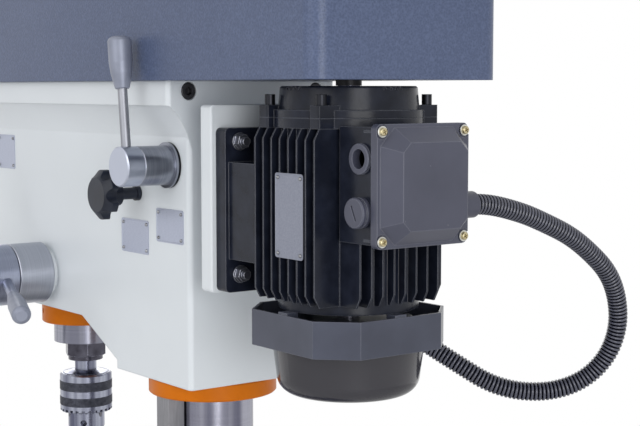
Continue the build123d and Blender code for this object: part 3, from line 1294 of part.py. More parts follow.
def make_motor_housing():
    low = HOUSING_BOTTOM
    body = bar("z", MOTOR, CORE_R, (low, RIM_SPLIT))
    box_room = block(terminal_span_x(), (TERMINAL_BACK_Y, TERMINAL_SEAT_Y), terminal_span_z())
    body += [fin - box_room for fin in fin_rows()]
    body += lugged_rim((FIN_TOP, RIM_SPLIT), 0)
    foot_z = (HEAD_TOP - FOOT_BOTTOM_DROP, HEAD_TOP - FOOT_TOP_DROP)
    foot = block((-FOOT_HALF_WIDTH, FOOT_HALF_WIDTH), (PLATE_REAR, FOOT_REAR), foot_z)
    body += fillet(foot.edges().filter_by(Axis.Y), 5)
    web_z = (HEAD_TOP - WEB_BOTTOM_DROP, HEAD_TOP - WEB_TOP_DROP)
    body += block((-WEB_HALF_WIDTH, WEB_HALF_WIDTH), (FOOT_REAR, FOOT_REAR + WEB_DEPTH), web_z)
    body += block((-CORE_R * 0.75, CORE_R * 0.75), (FOOT_REAR - 1, MOTOR_Y), web_z)
    body -= bar("z", MOTOR, CORE_R - CORE_WALL, (low + CORE_WALL + MOTOR_BEARING_HEIGHT, RIM_SPLIT + 1))
    bearing = (low + CORE_WALL, low + CORE_WALL + MOTOR_BEARING_HEIGHT + 1)
    body -= bar("z", MOTOR, MOTOR_BEARING_R + SEATED, bearing)
    body -= bar("z", MOTOR, SHAFT_R + 1, (low - 1, low + CORE_WALL + 1))
    for place in lug_places():
        body -= bar("z", place, SHIELD_SCREW_R + SEATED, (FIN_TOP - 1, RIM_SPLIT + 1))
    for at in foot_bolt_places():
        body -= bar("y", at, FOOT_BOLT_R + SEATED, (PLATE_REAR - 1, FOOT_REAR + 1))
        body -= bar("y", at, FOOT_WASHER_R + 1, (FOOT_REAR, FOOT_REAR + 26))
    return body


def make_end_shield():
    body = lugged_rim((RIM_SPLIT, SHIELD_RIM_TOP), LUG_RISE)
    dome = turned("z", MOTOR, [
        (0, SHIELD_RIM_TOP - 1), (DOME_BOTTOM_R, SHIELD_RIM_TOP - 1), (DOME_TOP_R, DOME_TOP - 1.5),
        (DOME_TOP_R - 1.5, DOME_TOP), (0, DOME_TOP),
    ])
    body += dome
    body -= bar("z", MOTOR, DOME_TOP_R - SHIELD_WALL, (RIM_SPLIT - 1, DOME_TOP - SHIELD_WALL))
    hub_bottom = DOME_TOP - SHIELD_WALL - MOTOR_BEARING_HEIGHT
    hub_span = (hub_bottom, DOME_TOP - 2)
    body += tube("z", MOTOR, MOTOR_BEARING_R + SHIELD_WALL, MOTOR_BEARING_R + SEATED, hub_span)
    body -= bar("z", MOTOR, SHAFT_R + 1, (RIM_SPLIT, DOME_TOP + 1))
    slot = Pos(DOME_TOP_R, 0, DOME_TOP) * Box(DOME_SLOT_DEPTH, DOME_SLOT_WIDTH, 2 * DOME_SLOT_DEPTH)
    for group in (0, 90, 180, 270):
        for index in range(DOME_SLOTS):
            turn = group + (index - (DOME_SLOTS - 1) / 2) * DOME_SLOT_PITCH
            body -= Pos(0, MOTOR_Y, 0) * Rot(0, 0, turn) * slot
    for place in lug_places():
        body -= bar("z", place, SHIELD_SCREW_R + SEATED, (RIM_SPLIT - 1, SHIELD_RIM_TOP + LUG_RISE + 1))
    return body


def make_motor_bolts():
    """Foot studs with nuts and washers, and the socket screws of the end shield."""
    pieces = []
    for at in foot_bolt_places():
        washer_y = FOOT_REAR + FOOT_WASHER_THICKNESS
        nut_y = washer_y + FOOT_NUT_HEIGHT
        bolt = bar("y", at, FOOT_BOLT_R, (PLATE_FRONT + 4, nut_y + FOOT_STUD_STANDOUT))
        bolt += bar("y", at, FOOT_WASHER_R, (FOOT_REAR, washer_y))
        bolt += prism("y", at, FOOT_NUT_R, 6, (washer_y, nut_y), 15)
        pieces.append(bolt)
    head_low = SHIELD_RIM_TOP + LUG_RISE
    for place in lug_places():
        head_top = head_low + SHIELD_SCREW_HEAD_HEIGHT
        screw = bar("z", place, SHIELD_SCREW_HEAD_R, (head_low, head_top))
        screw -= prism("z", place, SHIELD_SCREW_R, 6, (head_top - 4, head_top + 1))
        screw += bar("z", place, SHIELD_SCREW_R, (FIN_TOP + 1, head_low))
        pieces.append(screw)
    return pieces


def make_stator():
    span = (HEAD_TOP - STATOR_BOTTOM_DROP, HEAD_TOP - STATOR_TOP_DROP)
    return tube("z", MOTOR, CORE_R - CORE_WALL - SEATED, STATOR_BORE_R, span)


def motor_bearing_lows():
    return (HOUSING_BOTTOM + CORE_WALL, DOME_TOP - SHIELD_WALL - MOTOR_BEARING_HEIGHT)


def make_motor_bearings():
    return [
        tube("z", MOTOR, MOTOR_BEARING_R, SHAFT_R + RUNNING, (low, low + MOTOR_BEARING_HEIGHT))
        for low in motor_bearing_lows()
    ]


def make_rotor():
    body = bar("z", MOTOR, SHAFT_R, (HEAD_TOP - SHAFT_BOTTOM_DROP, HEAD_TOP + SHAFT_TOP_RISE))
    core = (HEAD_TOP - STATOR_BOTTOM_DROP, HEAD_TOP - STATOR_TOP_DROP)
    return body + bar("z", MOTOR, STATOR_BORE_R - ROTOR_GAP, core)


def make_motor_fan():
    low = HEAD_TOP - SHAFT_BOTTOM_DROP
    high = low + FAN_HEIGHT
    body = bar("z", MOTOR, FAN_HUB_R, (low, high))
    body += bar("z", MOTOR, FAN_R, (high - 2, high))
    blade = block((FAN_HUB_R - 1, FAN_R), (-FAN_BLADE_THICKNESS / 2, FAN_BLADE_THICKNESS / 2), (low, high))
    for index in range(FAN_BLADES):
        body += Pos(0, MOTOR_Y, 0) * Rot(0, 0, 360 * index / FAN_BLADES) * blade
    return body - bar("z", MOTOR, SHAFT_R + SEATED, (low - 1, high + 1))


def cowl_outline(inset):
    side = COWL_ACROSS_FLATS - 2 * inset
    outline = Pos(0, MOTOR_Y) * Rectangle(side, side)
    return chamfer(outline.vertices(), COWL_CHAMFER - inset * (2 - 2 ** 0.5))


def make_fan_cowl():
    skirt_low = HEAD_TOP - COWL_SKIRT_DROP
    low = HEAD_TOP - COWL_BOTTOM_DROP
    body = plan(cowl_outline(0), (skirt_low, COWL_TOP))
    bowl = turned("z", MOTOR, [(0, low), (BOWL_BOTTOM_R, low), (BOWL_R, skirt_low + 1), (0, skirt_low + 1)])
    body += fillet(bowl.edges().filter_by(GeomType.CIRCLE).group_by(Axis.Z)[0], BOWL_ROUND_R)
    body -= plan(cowl_outline(COWL_WALL), (skirt_low + COWL_WALL, COWL_TOP + 1))
    hollow = turned("z", MOTOR, [
        (0, low + COWL_WALL), (BOWL_BOTTOM_R - COWL_WALL, low + COWL_WALL),
        (BOWL_R - COWL_WALL, skirt_low), (BOWL_R - COWL_WALL, skirt_low + COWL_WALL + 1),
        (0, skirt_low + COWL_WALL + 1),
    ])
    body -= fillet(hollow.edges().filter_by(GeomType.CIRCLE).group_by(Axis.Z)[0], BOWL_ROUND_R - COWL_WALL)
    slot = Pos(BOWL_BOTTOM_R * 0.45, 0) * SlotOverall(BOWL_BOTTOM_R * 0.5, 5)
    for index in range(COWL_SLOTS):
        grille = Pos(0, MOTOR_Y) * Rot(0, 0, 360 * index / COWL_SLOTS) * slot
        body -= plan(grille, (low - 1, low + COWL_WALL + 1))
    tab_x = (CORE_R - COWL_WALL, COWL_ACROSS_FLATS / 2 - COWL_WALL / 2)
    tab_y = (-COWL_TAB_HALF_WIDTH, COWL_TAB_HALF_WIDTH)
    tab = block(tab_x, tab_y, (HOUSING_BOTTOM - COWL_TAB_HEIGHT, HOUSING_BOTTOM))
    for turn in (0, 90, 180, 270):
        body += Pos(0, MOTOR_Y, 0) * Rot(0, 0, turn) * tab
    return body


# Terminal box

def terminal_span_x():
    return (TERMINAL_LEFT_X, TERMINAL_RIGHT_X)


def terminal_span_z():
    inset = TERMINAL_BODY_INSET
    return (HEAD_TOP - TERMINAL_BOTTOM_DROP + inset, HEAD_TOP - TERMINAL_TOP_DROP - inset)


def terminal_screw_places():
    half = TERMINAL_SCREW_PITCH / 2
    return [(TERMINAL_X + x, TERMINAL_MID_Z + z) for x in (-half, half) for z in (-half, half)]


def make_terminal_box():
    y = (TERMINAL_BACK_Y, TERMINAL_SEAT_Y)
    body = block(terminal_span_x(), y, terminal_span_z())
    body = fillet(body.edges().filter_by(Axis.Y), TERMINAL_CORNER_R)
    wall = TERMINAL_WALL
    x = terminal_span_x()
    z = terminal_span_z()
    hollow = block((x[0] + wall, x[1] - wall), (y[0] + wall, y[1] + 1), (z[0] + wall, z[1] - 2 * wall))
    hollow = fillet(hollow.edges().filter_by(Axis.Y), TERMINAL_CORNER_R)
    body -= hollow - bar("z", MOTOR, CORE_R + wall, z)
    corner = TERMINAL_SCREW_R + TERMINAL_WALL
    bounds = block(x, y, z)
    for at in terminal_screw_places():
        body += bar("y", at, corner, y) & bounds
        body -= bar("y", at, TERMINAL_SCREW_R + SEATED, (TERMINAL_SEAT_Y - 12, TERMINAL_SEAT_Y + 1))
    body -= bar("z", MOTOR, CORE_R + SEATED, (z[0] - 1, z[1] + 1))
    body -= [plan(lug, (FIN_TOP - 1, z[1] + 1)) for lug in lug_outlines(1)]
    body -= bar("z", MOTOR, RIM_R + 1, (FIN_TOP - 1, z[1] + 1))
    body -= bar("x", UPPER_ENTRY, ENTRY_R, (x[1] - wall - 1, x[1] + 1))
    body -= bar("x", LOWER_ENTRY, ENTRY_R, (x[1] - wall - 1, x[1] + 1))
    body -= bar("x", GLAND_ENTRY, ENTRY_R, (x[0] - 1, x[0] + wall + 1))
    return body


def make_terminal_cover():
    rim_y = TERMINAL_SEAT_Y + TERMINAL_COVER_RIM
    x = (TERMINAL_X - TERMINAL_HALF_WIDTH, TERMINAL_X + TERMINAL_HALF_WIDTH)
    z = (HEAD_TOP - TERMINAL_BOTTOM_DROP, HEAD_TOP - TERMINAL_TOP_DROP)
    body = block(x, (TERMINAL_SEAT_Y, rim_y), z)
    body = fillet(body.edges().filter_by(Axis.Y), TERMINAL_CORNER_R)
    placed = Plane((TERMINAL_X, rim_y, TERMINAL_MID_Z), x_dir=(1, 0, 0), z_dir=(0, 1, 0))

    def crown_outline(inset):
        width = 2 * (TERMINAL_HALF_WIDTH - TERMINAL_CROWN_INSET - inset)
        height = TERMINAL_HEIGHT - 2 * (TERMINAL_CROWN_INSET + inset)
        return chamfer(Rectangle(width, height).vertices(), TERMINAL_CROWN_CORNER - 0.6 * inset)

    foot = Pos(0, 0, -TERMINAL_COVER_RIM / 2) * crown_outline(0)
    top = Pos(0, 0, TERMINAL_COVER_CROWN) * crown_outline(TERMINAL_CROWN_SLOPE)
    edge = Pos(0, 0, 0.5) * crown_outline(0)
    body += placed * loft([foot, edge], ruled=True)
    body += placed * loft([edge, top], ruled=True)
    for at in terminal_screw_places():
        body -= bar("y", at, TERMINAL_SCREW_R + APART, (TERMINAL_SEAT_Y - 1, rim_y + TERMINAL_COVER_CROWN))
        body -= bar("y", at, TERMINAL_SCREW_HEAD_R + 1.5, (rim_y - 1, rim_y + TERMINAL_COVER_CROWN))
    return body


def make_box_glands():
    """Open entry ring and slotted plug on the right, conduit gland on the left."""
    right = TERMINAL_RIGHT_X
    shank = TERMINAL_WALL
    shank_r = ENTRY_R - SEATED
    bore_r = ENTRY_R - 1.5
    neck_r = ENTRY_RING_R - ENTRY_GROOVE
    third = ENTRY_RING_LENGTH / 3
    front = right + ENTRY_RING_LENGTH
    open_ring = turned("x", UPPER_ENTRY, [
        (bore_r, right - shank), (shank_r, right - shank), (shank_r, right), (ENTRY_RING_R, right),
        (ENTRY_RING_R, right + third), (neck_r, right + third), (neck_r, front - third),
        (ENTRY_RING_R, front - third), (ENTRY_RING_R, front - third / 2), (ENTRY_RING_R - third / 2, front),
        (bore_r, front),
    ])
    rim = front + PLUG_GAP
    face = rim + PLUG_HEAD_LENGTH
    plug = turned("x", LOWER_ENTRY, [
        (0, right - shank), (shank_r, right - shank), (shank_r, right), (ENTRY_RING_R, right),
        (ENTRY_RING_R, front), (neck_r, front), (neck_r, rim), (ENTRY_RING_R, rim),
        (ENTRY_RING_R, face - 1), (ENTRY_RING_R - 1, face), (0, face),
    ])
    slot = Box(PLUG_SLOT_WIDTH, ENTRY_R * 1.4, 2 * PLUG_SLOT_DEPTH)
    plug -= along("x", LOWER_ENTRY) * Pos(0, 0, face) * Rot(0, 0, 90 + PLUG_SLOT_TURN) * slot
    left = TERMINAL_LEFT_X
    gland = prism("x", GLAND_ENTRY, GLAND_HEX_R, 6, (left - GLAND_HEX_LENGTH, left))
    gland += bar("x", GLAND_ENTRY, GLAND_R, (CONDUIT_ROUTE[0][0], left - GLAND_HEX_LENGTH))
    gland += bar("x", GLAND_ENTRY, ENTRY_R - SEATED, (left, left + shank))
    gland -= bar("x", GLAND_ENTRY, CONDUIT_BORE_R, (CONDUIT_ROUTE[0][0] - 1, left + shank + 1))
    return [open_ring, plug, gland]


# Switch box and conduit

def make_switch_box():
    x = (-HEAD_HALF_WIDTH - SWITCH_DEPTH, -HEAD_HALF_WIDTH)
    y = (SWITCH_FRONT, SWITCH_REAR)
    z = (HEAD_TOP - SWITCH_BOTTOM_DROP, HEAD_TOP - SWITCH_TOP_DROP)
    body = block(x, y, z)
    body = fillet(body.edges().filter_by(Axis.X) + body.edges().group_by(Axis.X)[0], SWITCH_EDGE_R)
    wall = SWITCH_WALL
    hollow = block((x[0] + wall, x[1] + 1), (y[0] + wall, y[1] - wall), (z[0] + wall, z[1] - wall))
    body -= fillet(hollow.edges().filter_by(Axis.X), SWITCH_EDGE_R - wall)
    for drop in BUTTON_DROPS.values():
        at = (BUTTON_X, HEAD_TOP - drop)
        ring_front = SWITCH_FRONT - BUTTON_RING_HEIGHT
        body += bar("y", at, BUTTON_R + 4, (ring_front, SWITCH_FRONT + 1))
        body -= bar("y", at, BUTTON_STEM_R + RUNNING, (ring_front - 1, SWITCH_FRONT + wall + 1))
    end = CONDUIT_ROUTE[-1]
    body -= bar("y", (end[0], end[2]), ENTRY_R, (SWITCH_REAR - wall - 1, SWITCH_REAR + 1))
    return body


def make_button(name):
    at = (BUTTON_X, HEAD_TOP - BUTTON_DROPS[name])
    cap_front = SWITCH_FRONT - BUTTON_RING_HEIGHT - BUTTON_STANDOUT
    cap_back = cap_front + BUTTON_STANDOUT / 2
    cap = bar("y", at, BUTTON_R, (cap_front, cap_back))
    cap = fillet(cap.edges().group_by(Axis.Y)[0], 2)
    return cap + bar("y", at, BUTTON_STEM_R, (cap_back, SWITCH_FRONT + BUTTON_STEM))


def make_lower_gland():
    end = CONDUIT_ROUTE[-1]
    at = (end[0], end[2])
    face = SWITCH_REAR
    gland = prism("y", at, GLAND_HEX_R, 6, (face, face + GLAND_HEX_LENGTH))
    gland += bar("y", at, GLAND_R, (face + GLAND_HEX_LENGTH, end[1]))
    gland += bar("y", at, ENTRY_R - SEATED, (face - SWITCH_WALL, face))
    return gland - bar("y", at, CONDUIT_BORE_R, (face - SWITCH_WALL - 1, end[1] + 1))


def conduit_path():
    points = [Vector(*point) for point in CONDUIT_ROUTE]
    radii = []
    for before, corner, after in zip(points, points[1:], points[2:]):
        arrive = corner - before
        leave = after - corner
        half_turn = radians(arrive.get_angle(leave)) / 2
        radii.append(0.45 * min(arrive.length, leave.length) / tan(half_turn))
    print("conduit radii", [round(radius) for radius in radii])
    return FilletPolyline(*points, radius=radii)


def make_conduit():
    path = conduit_path()
    length = path.length
    steady = Vector(1, 1, 0.3)

    def ring(place, radius):
        way = path.tangent_at(place / length)
        return Plane(path.position_at(place / length), x_dir=steady.cross(way), z_dir=way) * Circle(radius)

    straight = 2 * CONDUIT_R
    pitch = (length - 2 * straight) / CONDUIT_RIBS
    rings = [ring(0, CONDUIT_ROOT_R)]
    for rib in range(CONDUIT_RIBS):
        start = straight + rib * pitch
        rings.append(ring(start + 0.10 * pitch, CONDUIT_ROOT_R))
        rings.append(ring(start + 0.30 * pitch, CONDUIT_R))
        rings.append(ring(start + 0.70 * pitch, CONDUIT_R))
        rings.append(ring(start + 0.90 * pitch, CONDUIT_ROOT_R))
    rings.append(ring(length, CONDUIT_ROOT_R))
    body = loft(rings, ruled=True, clean=False)
    bore = sweep(ring(0, CONDUIT_BORE_R), path=path)
    print("conduit length", round(length, 1), "volume", round(body.volume), "bore", round(bore.volume))
    return body - bore


# Table

def make_table():
    low = TABLE_TOP - TABLE_THICKNESS
    outline = Pos(0, SPINDLE_Y) * RectangleRounded(TABLE_SIZE, TABLE_SIZE, TABLE_CORNER_R)
    body = plan(outline, (low, TABLE_TOP))
    body = chamfer(body.edges().group_by(Axis.Z)[-1], 1.0)
    half = TABLE_SLOT_PITCH / 2
    span = (-TABLE_SIZE / 2 - 1, TABLE_SIZE / 2 + 1)
    body -= tee_slots((SPINDLE_Y - half, SPINDLE_Y + half), "x", span, TABLE_TOP)
    groove_side = TABLE_SIZE - 2 * TABLE_RIM
    groove = RectangleRounded(groove_side, groove_side, TABLE_CORNER_R)
    island_side = groove_side - 2 * TABLE_GROOVE_WIDTH
    groove -= RectangleRounded(island_side, island_side, TABLE_CORNER_R - TABLE_GROOVE_WIDTH / 2)
    body -= Pos(0, SPINDLE_Y) * plan(groove, (TABLE_TOP - TABLE_GROOVE_DEPTH, TABLE_TOP + 1))
    rear = SPINDLE_Y + TABLE_SIZE / 2
    rib_span = (SPINDLE_Y - TABLE_SIZE / 2 + TABLE_RIB, rear - TABLE_RIB)
    rib_z = (low - TABLE_RIB_DEPTH, low)
    for x in (-TABLE_SIZE / 4, TABLE_SIZE / 4):
        body += block((x - TABLE_RIB / 2, x + TABLE_RIB / 2), rib_span, rib_z)
    disc = (TILT_FACE_Y - TILT_DISC_THICKNESS - KNUCKLE_LENGTH, TILT_FACE_Y)
    knuckle = bar("y", TILT, TILT_DISC_R, disc)
    knuckle += block((-KNUCKLE_HALF_WIDTH, KNUCKLE_HALF_WIDTH), disc, (TILT_Z, low))
    body += knuckle - block((-TABLE_SIZE, TABLE_SIZE), disc, (low, TABLE_TOP + TILT_DISC_R))
    body -= bar("y", TILT, TILT_BOLT_R + RUNNING, (disc[0] - 1, TILT_FACE_Y + 1))
    body -= bar("y", TILT, TILT_HEAD_R + 2, (disc[0] - 1, disc[0] + TILT_HEAD_HEIGHT + 4))
    body -= bar("z", SPINDLE, TABLE_HOLE_R, (low - 1, TABLE_TOP + 1))
    return body


def make_tilt_bolt():
    seat = TILT_FACE_Y - TILT_DISC_THICKNESS - KNUCKLE_LENGTH + TILT_HEAD_HEIGHT + 4 - APART
    body = prism("y", TILT, TILT_HEAD_R, 6, (seat - TILT_HEAD_HEIGHT, seat))
    return body + bar("y", TILT, TILT_BOLT_R, (seat, -BRACKET_R))


def make_table_bracket():
    middle = TILT_Z
    z = (middle - BRACKET_HEIGHT / 2, middle + BRACKET_HEIGHT / 2)
    face_y = TILT_FACE_Y + APART
    body = bar("z", (0, 0), BRACKET_R, z)
    body = fillet(body.edges().filter_by(GeomType.CIRCLE), 4)
    body += bar("y", TILT, TILT_DISC_R, (face_y, face_y + TILT_DISC_THICKNESS))
    arm_z = (middle - TILT_DISC_R * 0.8, middle + TILT_DISC_R * 0.8)
    body += block((-BRACKET_ARM_HALF_WIDTH, BRACKET_ARM_HALF_WIDTH), (face_y + 1, -COLUMN_R), arm_z)
    box_y = (LIFT[0] - LIFT_PITCH_R - RACK_MODULE - GEAR_BOX_WALL, RACK_WIDTH / 2 + GEAR_BOX_WALL)
    box_z = (middle - GEAR_BOX_HALF_HEIGHT, middle + GEAR_BOX_HALF_HEIGHT)
    gear_box = block((COLUMN_R / 2, GEAR_BOX_REACH), box_y, box_z)
    body += fillet(gear_box.edges().filter_by(Axis.X), 8)
    ear_z = (middle - CLAMP_EAR_HALF_HEIGHT, middle + CLAMP_EAR_HALF_HEIGHT)
    ears = block((-CLAMP_EAR_REACH, -COLUMN_R), (-CLAMP_EAR_HALF_WIDTH, CLAMP_EAR_HALF_WIDTH), ear_z)
    body += fillet(ears.edges().filter_by(Axis.Y), 6)
    body -= bar("z", (0, 0), COLUMN_R + RUNNING, (z[0] - 1, z[1] + 1))
    rack_x = (0, RACK_FACE_X + RACK_CLEARANCE)
    rack_y = (-RACK_WIDTH / 2 - RACK_CLEARANCE, RACK_WIDTH / 2 + RACK_CLEARANCE)
    body -= block(rack_x, rack_y, (z[0] - 1, z[1] + 1))
    slit = (-CLAMP_SLIT / 2, CLAMP_SLIT / 2)
    body -= block((-CLAMP_EAR_REACH - 1, 0), slit, (z[0] - 1, z[1] + 1))
    pinion_r = LIFT_PITCH_R + RACK_MODULE + 1
    body -= bar("x", LIFT, pinion_r, (0, RACK_FACE_X + RACK_CLEARANCE))
    body -= bar("x", LIFT, LIFT_SHAFT_R + RUNNING, (0, GEAR_BOX_REACH + 1))
    body -= bar("y", TILT, TILT_BOLT_R + SEATED, (face_y - 1, -BRACKET_R + 1))
    screw = (CLAMP_SCREW_X, middle)
    body -= bar("y", screw, CLAMP_SCREW_R + RUNNING, (-CLAMP_EAR_HALF_WIDTH - 1, CLAMP_EAR_HALF_WIDTH + 1))
    body -= bar("z", (0, 0), COLUMN_R + RUNNING, (z[0] - 1, z[1] + 1))
    return body


def make_lift_shaft():
    outline = Rot(0, 0, 90) * gear_outline(RACK_MODULE, LIFT_PINION_TEETH)
    start = RACK_BACK_X + 1
    body = along("x", LIFT) * Pos(0, 0, start) * extrude(outline, amount=RACK_FACE_X - start)
    return body + bar("x", LIFT, LIFT_SHAFT_R, (RACK_FACE_X, CRANK_X + CRANK_THICKNESS - 2))


def crank_pin_at():
    return (LIFT[0], LIFT[1] - CRANK_R)


def make_crank_arm():
    outline = Pos(CRANK_R / 2, 0) * SlotOverall(CRANK_R + 2 * CRANK_HUB_R, 2 * CRANK_HUB_R)
    arm = along("x", LIFT) * Pos(0, 0, CRANK_X) * extrude(outline, amount=CRANK_THICKNESS)
    arm = fillet(arm.edges().group_by(Axis.X)[-1], 2)
    arm -= bar("x", LIFT, LIFT_SHAFT_R + SEATED, (CRANK_X - 1, CRANK_X + CRANK_THICKNESS - 2))
    pin = (CRANK_X + CRANK_THICKNESS - 1, CRANK_X + CRANK_THICKNESS + CRANK_GRIP_LENGTH - 6)
    return arm + bar("x", crank_pin_at(), CRANK_PIN_R, pin)


def make_crank_grip():
    start = CRANK_X + CRANK_THICKNESS + APART
    grip = tapered_grip(CRANK_GRIP_R * 0.8, CRANK_GRIP_R, CRANK_GRIP_LENGTH, CRANK_PIN_R + RUNNING,
                        CRANK_GRIP_LENGTH - 5)
    return along("x", crank_pin_at()) * Pos(0, 0, start) * grip


def make_bracket_clamp():
    at = (CLAMP_SCREW_X, TILT_Z)
    hub_y = CLAMP_EAR_HALF_WIDTH + APART
    body = bar("y", at, CLAMP_SCREW_R, (-CLAMP_EAR_HALF_WIDTH + 2, hub_y))
    body += bar("y", at, CLAMP_HUB_R, (hub_y, hub_y + CLAMP_HUB_LENGTH))
    middle_y = hub_y + CLAMP_HUB_LENGTH / 2
    end_x = CLAMP_SCREW_X - CLAMP_LEVER_LENGTH
    body += bar("x", (middle_y, TILT_Z), CLAMP_LEVER_R, (end_x, CLAMP_SCREW_X))
    return body + Pos(end_x, middle_y, TILT_Z) * Sphere(CLAMP_BALL_R)


PIECES = {
    "base": make_base(),
    "column_socket": make_column_socket(),
    "socket_bolts": make_socket_bolts(),
    "column": make_column(),
    "column_rack": make_column_rack(),
    "rack_collar": make_rack_collar(),
    "head_casting": make_head_casting(),
    "quill": make_quill(),
    "quill_bearings": make_quill_bearings(),
    "stop_collar": make_stop_collar(),
    "spindle": make_spindle(),
    "spindle_nut": make_spindle_nut(),
    "chuck_body": make_chuck_body(),
    "chuck_sleeve": make_chuck_sleeve(),
    "feed_shaft": make_feed_shaft(),
    "depth_ring": make_depth_ring(),
    "feed_hub": make_feed_hub(),
    "feed_spokes": make_feed_spokes(),
    "feed_handles": make_feed_handles(),
    "spring_housing": make_spring_housing(),
    "return_spring": make_return_spring(),
    "belt_cover": make_belt_cover(),
    "belt_pan": make_belt_pan(),
    "spindle_pulley": make_spindle_pulley(),
    "drive_bearings": make_drive_bearings(),
    "idler_arm": make_idler_arm(),
    "idler_pulley": make_idler_pulley(),
    "motor_pulley": make_motor_pulley(),
    "v_belts": make_v_belts(),
    "slide_bars": make_slide_bars(),
    "motor_plate": make_motor_plate(),
    "tension_hub": make_tension_hub(),
    "tension_lever": make_tension_lever(),
    "tension_grip": make_tension_grip(),
    "lock_knob": make_lock_knob(),
    "motor_housing": make_motor_housing(),
    "end_shield": make_end_shield(),
    "motor_bolts": make_motor_bolts(),
    "stator": make_stator(),
    "motor_bearings": make_motor_bearings(),
    "rotor": make_rotor(),
    "motor_fan": make_motor_fan(),
    "fan_cowl": make_fan_cowl(),
    "terminal_box": make_terminal_box(),
    "terminal_cover": make_terminal_cover(),
    "box_glands": make_box_glands(),
    "switch_box": make_switch_box(),
    "lower_gland": make_lower_gland(),
    "conduit": make_conduit(),
    "table": make_table(),
    "tilt_bolt": make_tilt_bolt(),
    "table_bracket": make_table_bracket(),
    "lift_crank": [make_lift_shaft(), make_crank_arm()],
    "crank_grip": make_crank_grip(),
    "bracket_clamp": make_bracket_clamp(),
}
PIECES.update({name: make_chuck_jaw(index) for index, name in enumerate(JAW_NAMES)})
PIECES.update({name: make_button(name) for name in BUTTON_DROPS})

os.makedirs("parts", exist_ok=True)
for node, piece in PIECES.items():
    shape = Compound(children=piece) if isinstance(piece, list) else piece
    export_step(shape, f"parts/{node}.step")
print(len(PIECES), "nodes")
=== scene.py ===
from math import cos, pi, radians, sin

import bpy
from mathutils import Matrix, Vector


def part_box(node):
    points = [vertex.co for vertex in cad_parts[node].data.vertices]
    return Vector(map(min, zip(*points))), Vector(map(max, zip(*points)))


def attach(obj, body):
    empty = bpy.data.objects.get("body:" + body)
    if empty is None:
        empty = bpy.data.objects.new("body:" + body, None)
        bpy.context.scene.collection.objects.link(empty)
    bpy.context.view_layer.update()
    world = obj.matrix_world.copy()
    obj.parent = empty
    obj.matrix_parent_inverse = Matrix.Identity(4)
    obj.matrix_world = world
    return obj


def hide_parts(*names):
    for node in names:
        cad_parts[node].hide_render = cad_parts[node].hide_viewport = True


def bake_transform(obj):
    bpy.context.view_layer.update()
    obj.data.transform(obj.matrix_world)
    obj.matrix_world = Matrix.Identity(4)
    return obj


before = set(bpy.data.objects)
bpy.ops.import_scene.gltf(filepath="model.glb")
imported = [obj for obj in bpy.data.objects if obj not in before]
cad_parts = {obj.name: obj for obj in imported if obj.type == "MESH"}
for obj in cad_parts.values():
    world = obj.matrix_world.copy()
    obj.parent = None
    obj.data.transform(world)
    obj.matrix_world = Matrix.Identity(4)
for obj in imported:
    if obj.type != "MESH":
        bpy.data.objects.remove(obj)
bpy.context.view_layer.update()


# Base
# The foot that is bolted to the bench: one grey iron casting with a ribbed, slotted plate.
# It is sprayed with a hammered blue-grey enamel that dries in small dimples.

def finish(name, colour, metallic, roughness, specular=0.5):
    """A new finish: the material, its shader, and the place on the piece that its patterns read."""
    made = bpy.data.materials.new(name)
    made.use_nodes = True
    shader = made.node_tree.nodes["Principled BSDF"]
    shader.inputs["Base Color"].default_value = (*colour, 1)
    shader.inputs["Metallic"].default_value = metallic
    shader.inputs["Roughness"].default_value = roughness
    shader.inputs["Specular IOR Level"].default_value = specular
    place = made.node_tree.nodes.new("ShaderNodeTexCoord")
    return made, shader, place.outputs["Object"]


def step(made, kind, sockets, output=0, **settings):
    """One more node in a finish. A socket is given a value, or the output of an earlier step."""
    new = made.node_tree.nodes.new("ShaderNode" + kind)
    for name, value in settings.items():
        setattr(new, name, value)
    for name, value in sockets.items():
        if isinstance(value, bpy.types.NodeSocket):
            made.node_tree.links.new(value, new.inputs[name])
        else:
            new.inputs[name].default_value = value
    return new.outputs[output]


def cloud(made, place, scale, detail):
    """A cloudy pattern: a higher scale is finer, and more detail breaks it up further."""
    return step(made, "TexNoise", {"Vector": place, "Scale": scale, "Detail": detail})


def shades(made, value, stops):
    """Turns a value into a colour that runs through the given stops."""
    ramp = made.node_tree.nodes.new("ShaderNodeValToRGB")
    made.node_tree.links.new(value, ramp.inputs["Fac"])
    points = ramp.color_ramp.elements
    while len(points) < len(stops):
        points.new(0.5)
    for point, (position, colour) in zip(points, stops):
        point.position = position
        point.color = (*colour, 1)
    return ramp.outputs["Color"]


def between(made, value, low, high):
    """Spreads a pattern's value from low to high."""
    return step(made, "MapRange", {"Value": value, "To Min": low, "To Max": high})


def wash(made, tone, film):
    """Lays a thin film over a tone, which darkens it."""
    return step(made, "MixRGB", {"Fac": 1.0, "Color1": tone, "Color2": film}, blend_type="MULTIPLY")


def soften(made, radius, samples=4):
    """The surface with its sharp edges rounded over by a small radius."""
    return step(made, "Bevel", {"Radius": radius}, samples=samples)


def emboss(made, pattern, strength, depth, surface=None):
    """Raises a pattern on a surface."""
    sockets = {"Strength": strength, "Distance": depth, "Height": pattern}
    if surface is not None:
        sockets["Normal"] = surface
    return step(made, "Bump", sockets)


def feed(made, shader, **sockets):
    """Leads the last steps of a finish into its shader."""
    for name, value in sockets.items():
        made.node_tree.links.new(value, shader.inputs[name.replace("_", " ")])


def dress(made, *names):
    """Gives a finish to pieces that come from the frame."""
    for name in names:
        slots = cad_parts[name].data.materials
        slots.clear()
        slots.append(made)


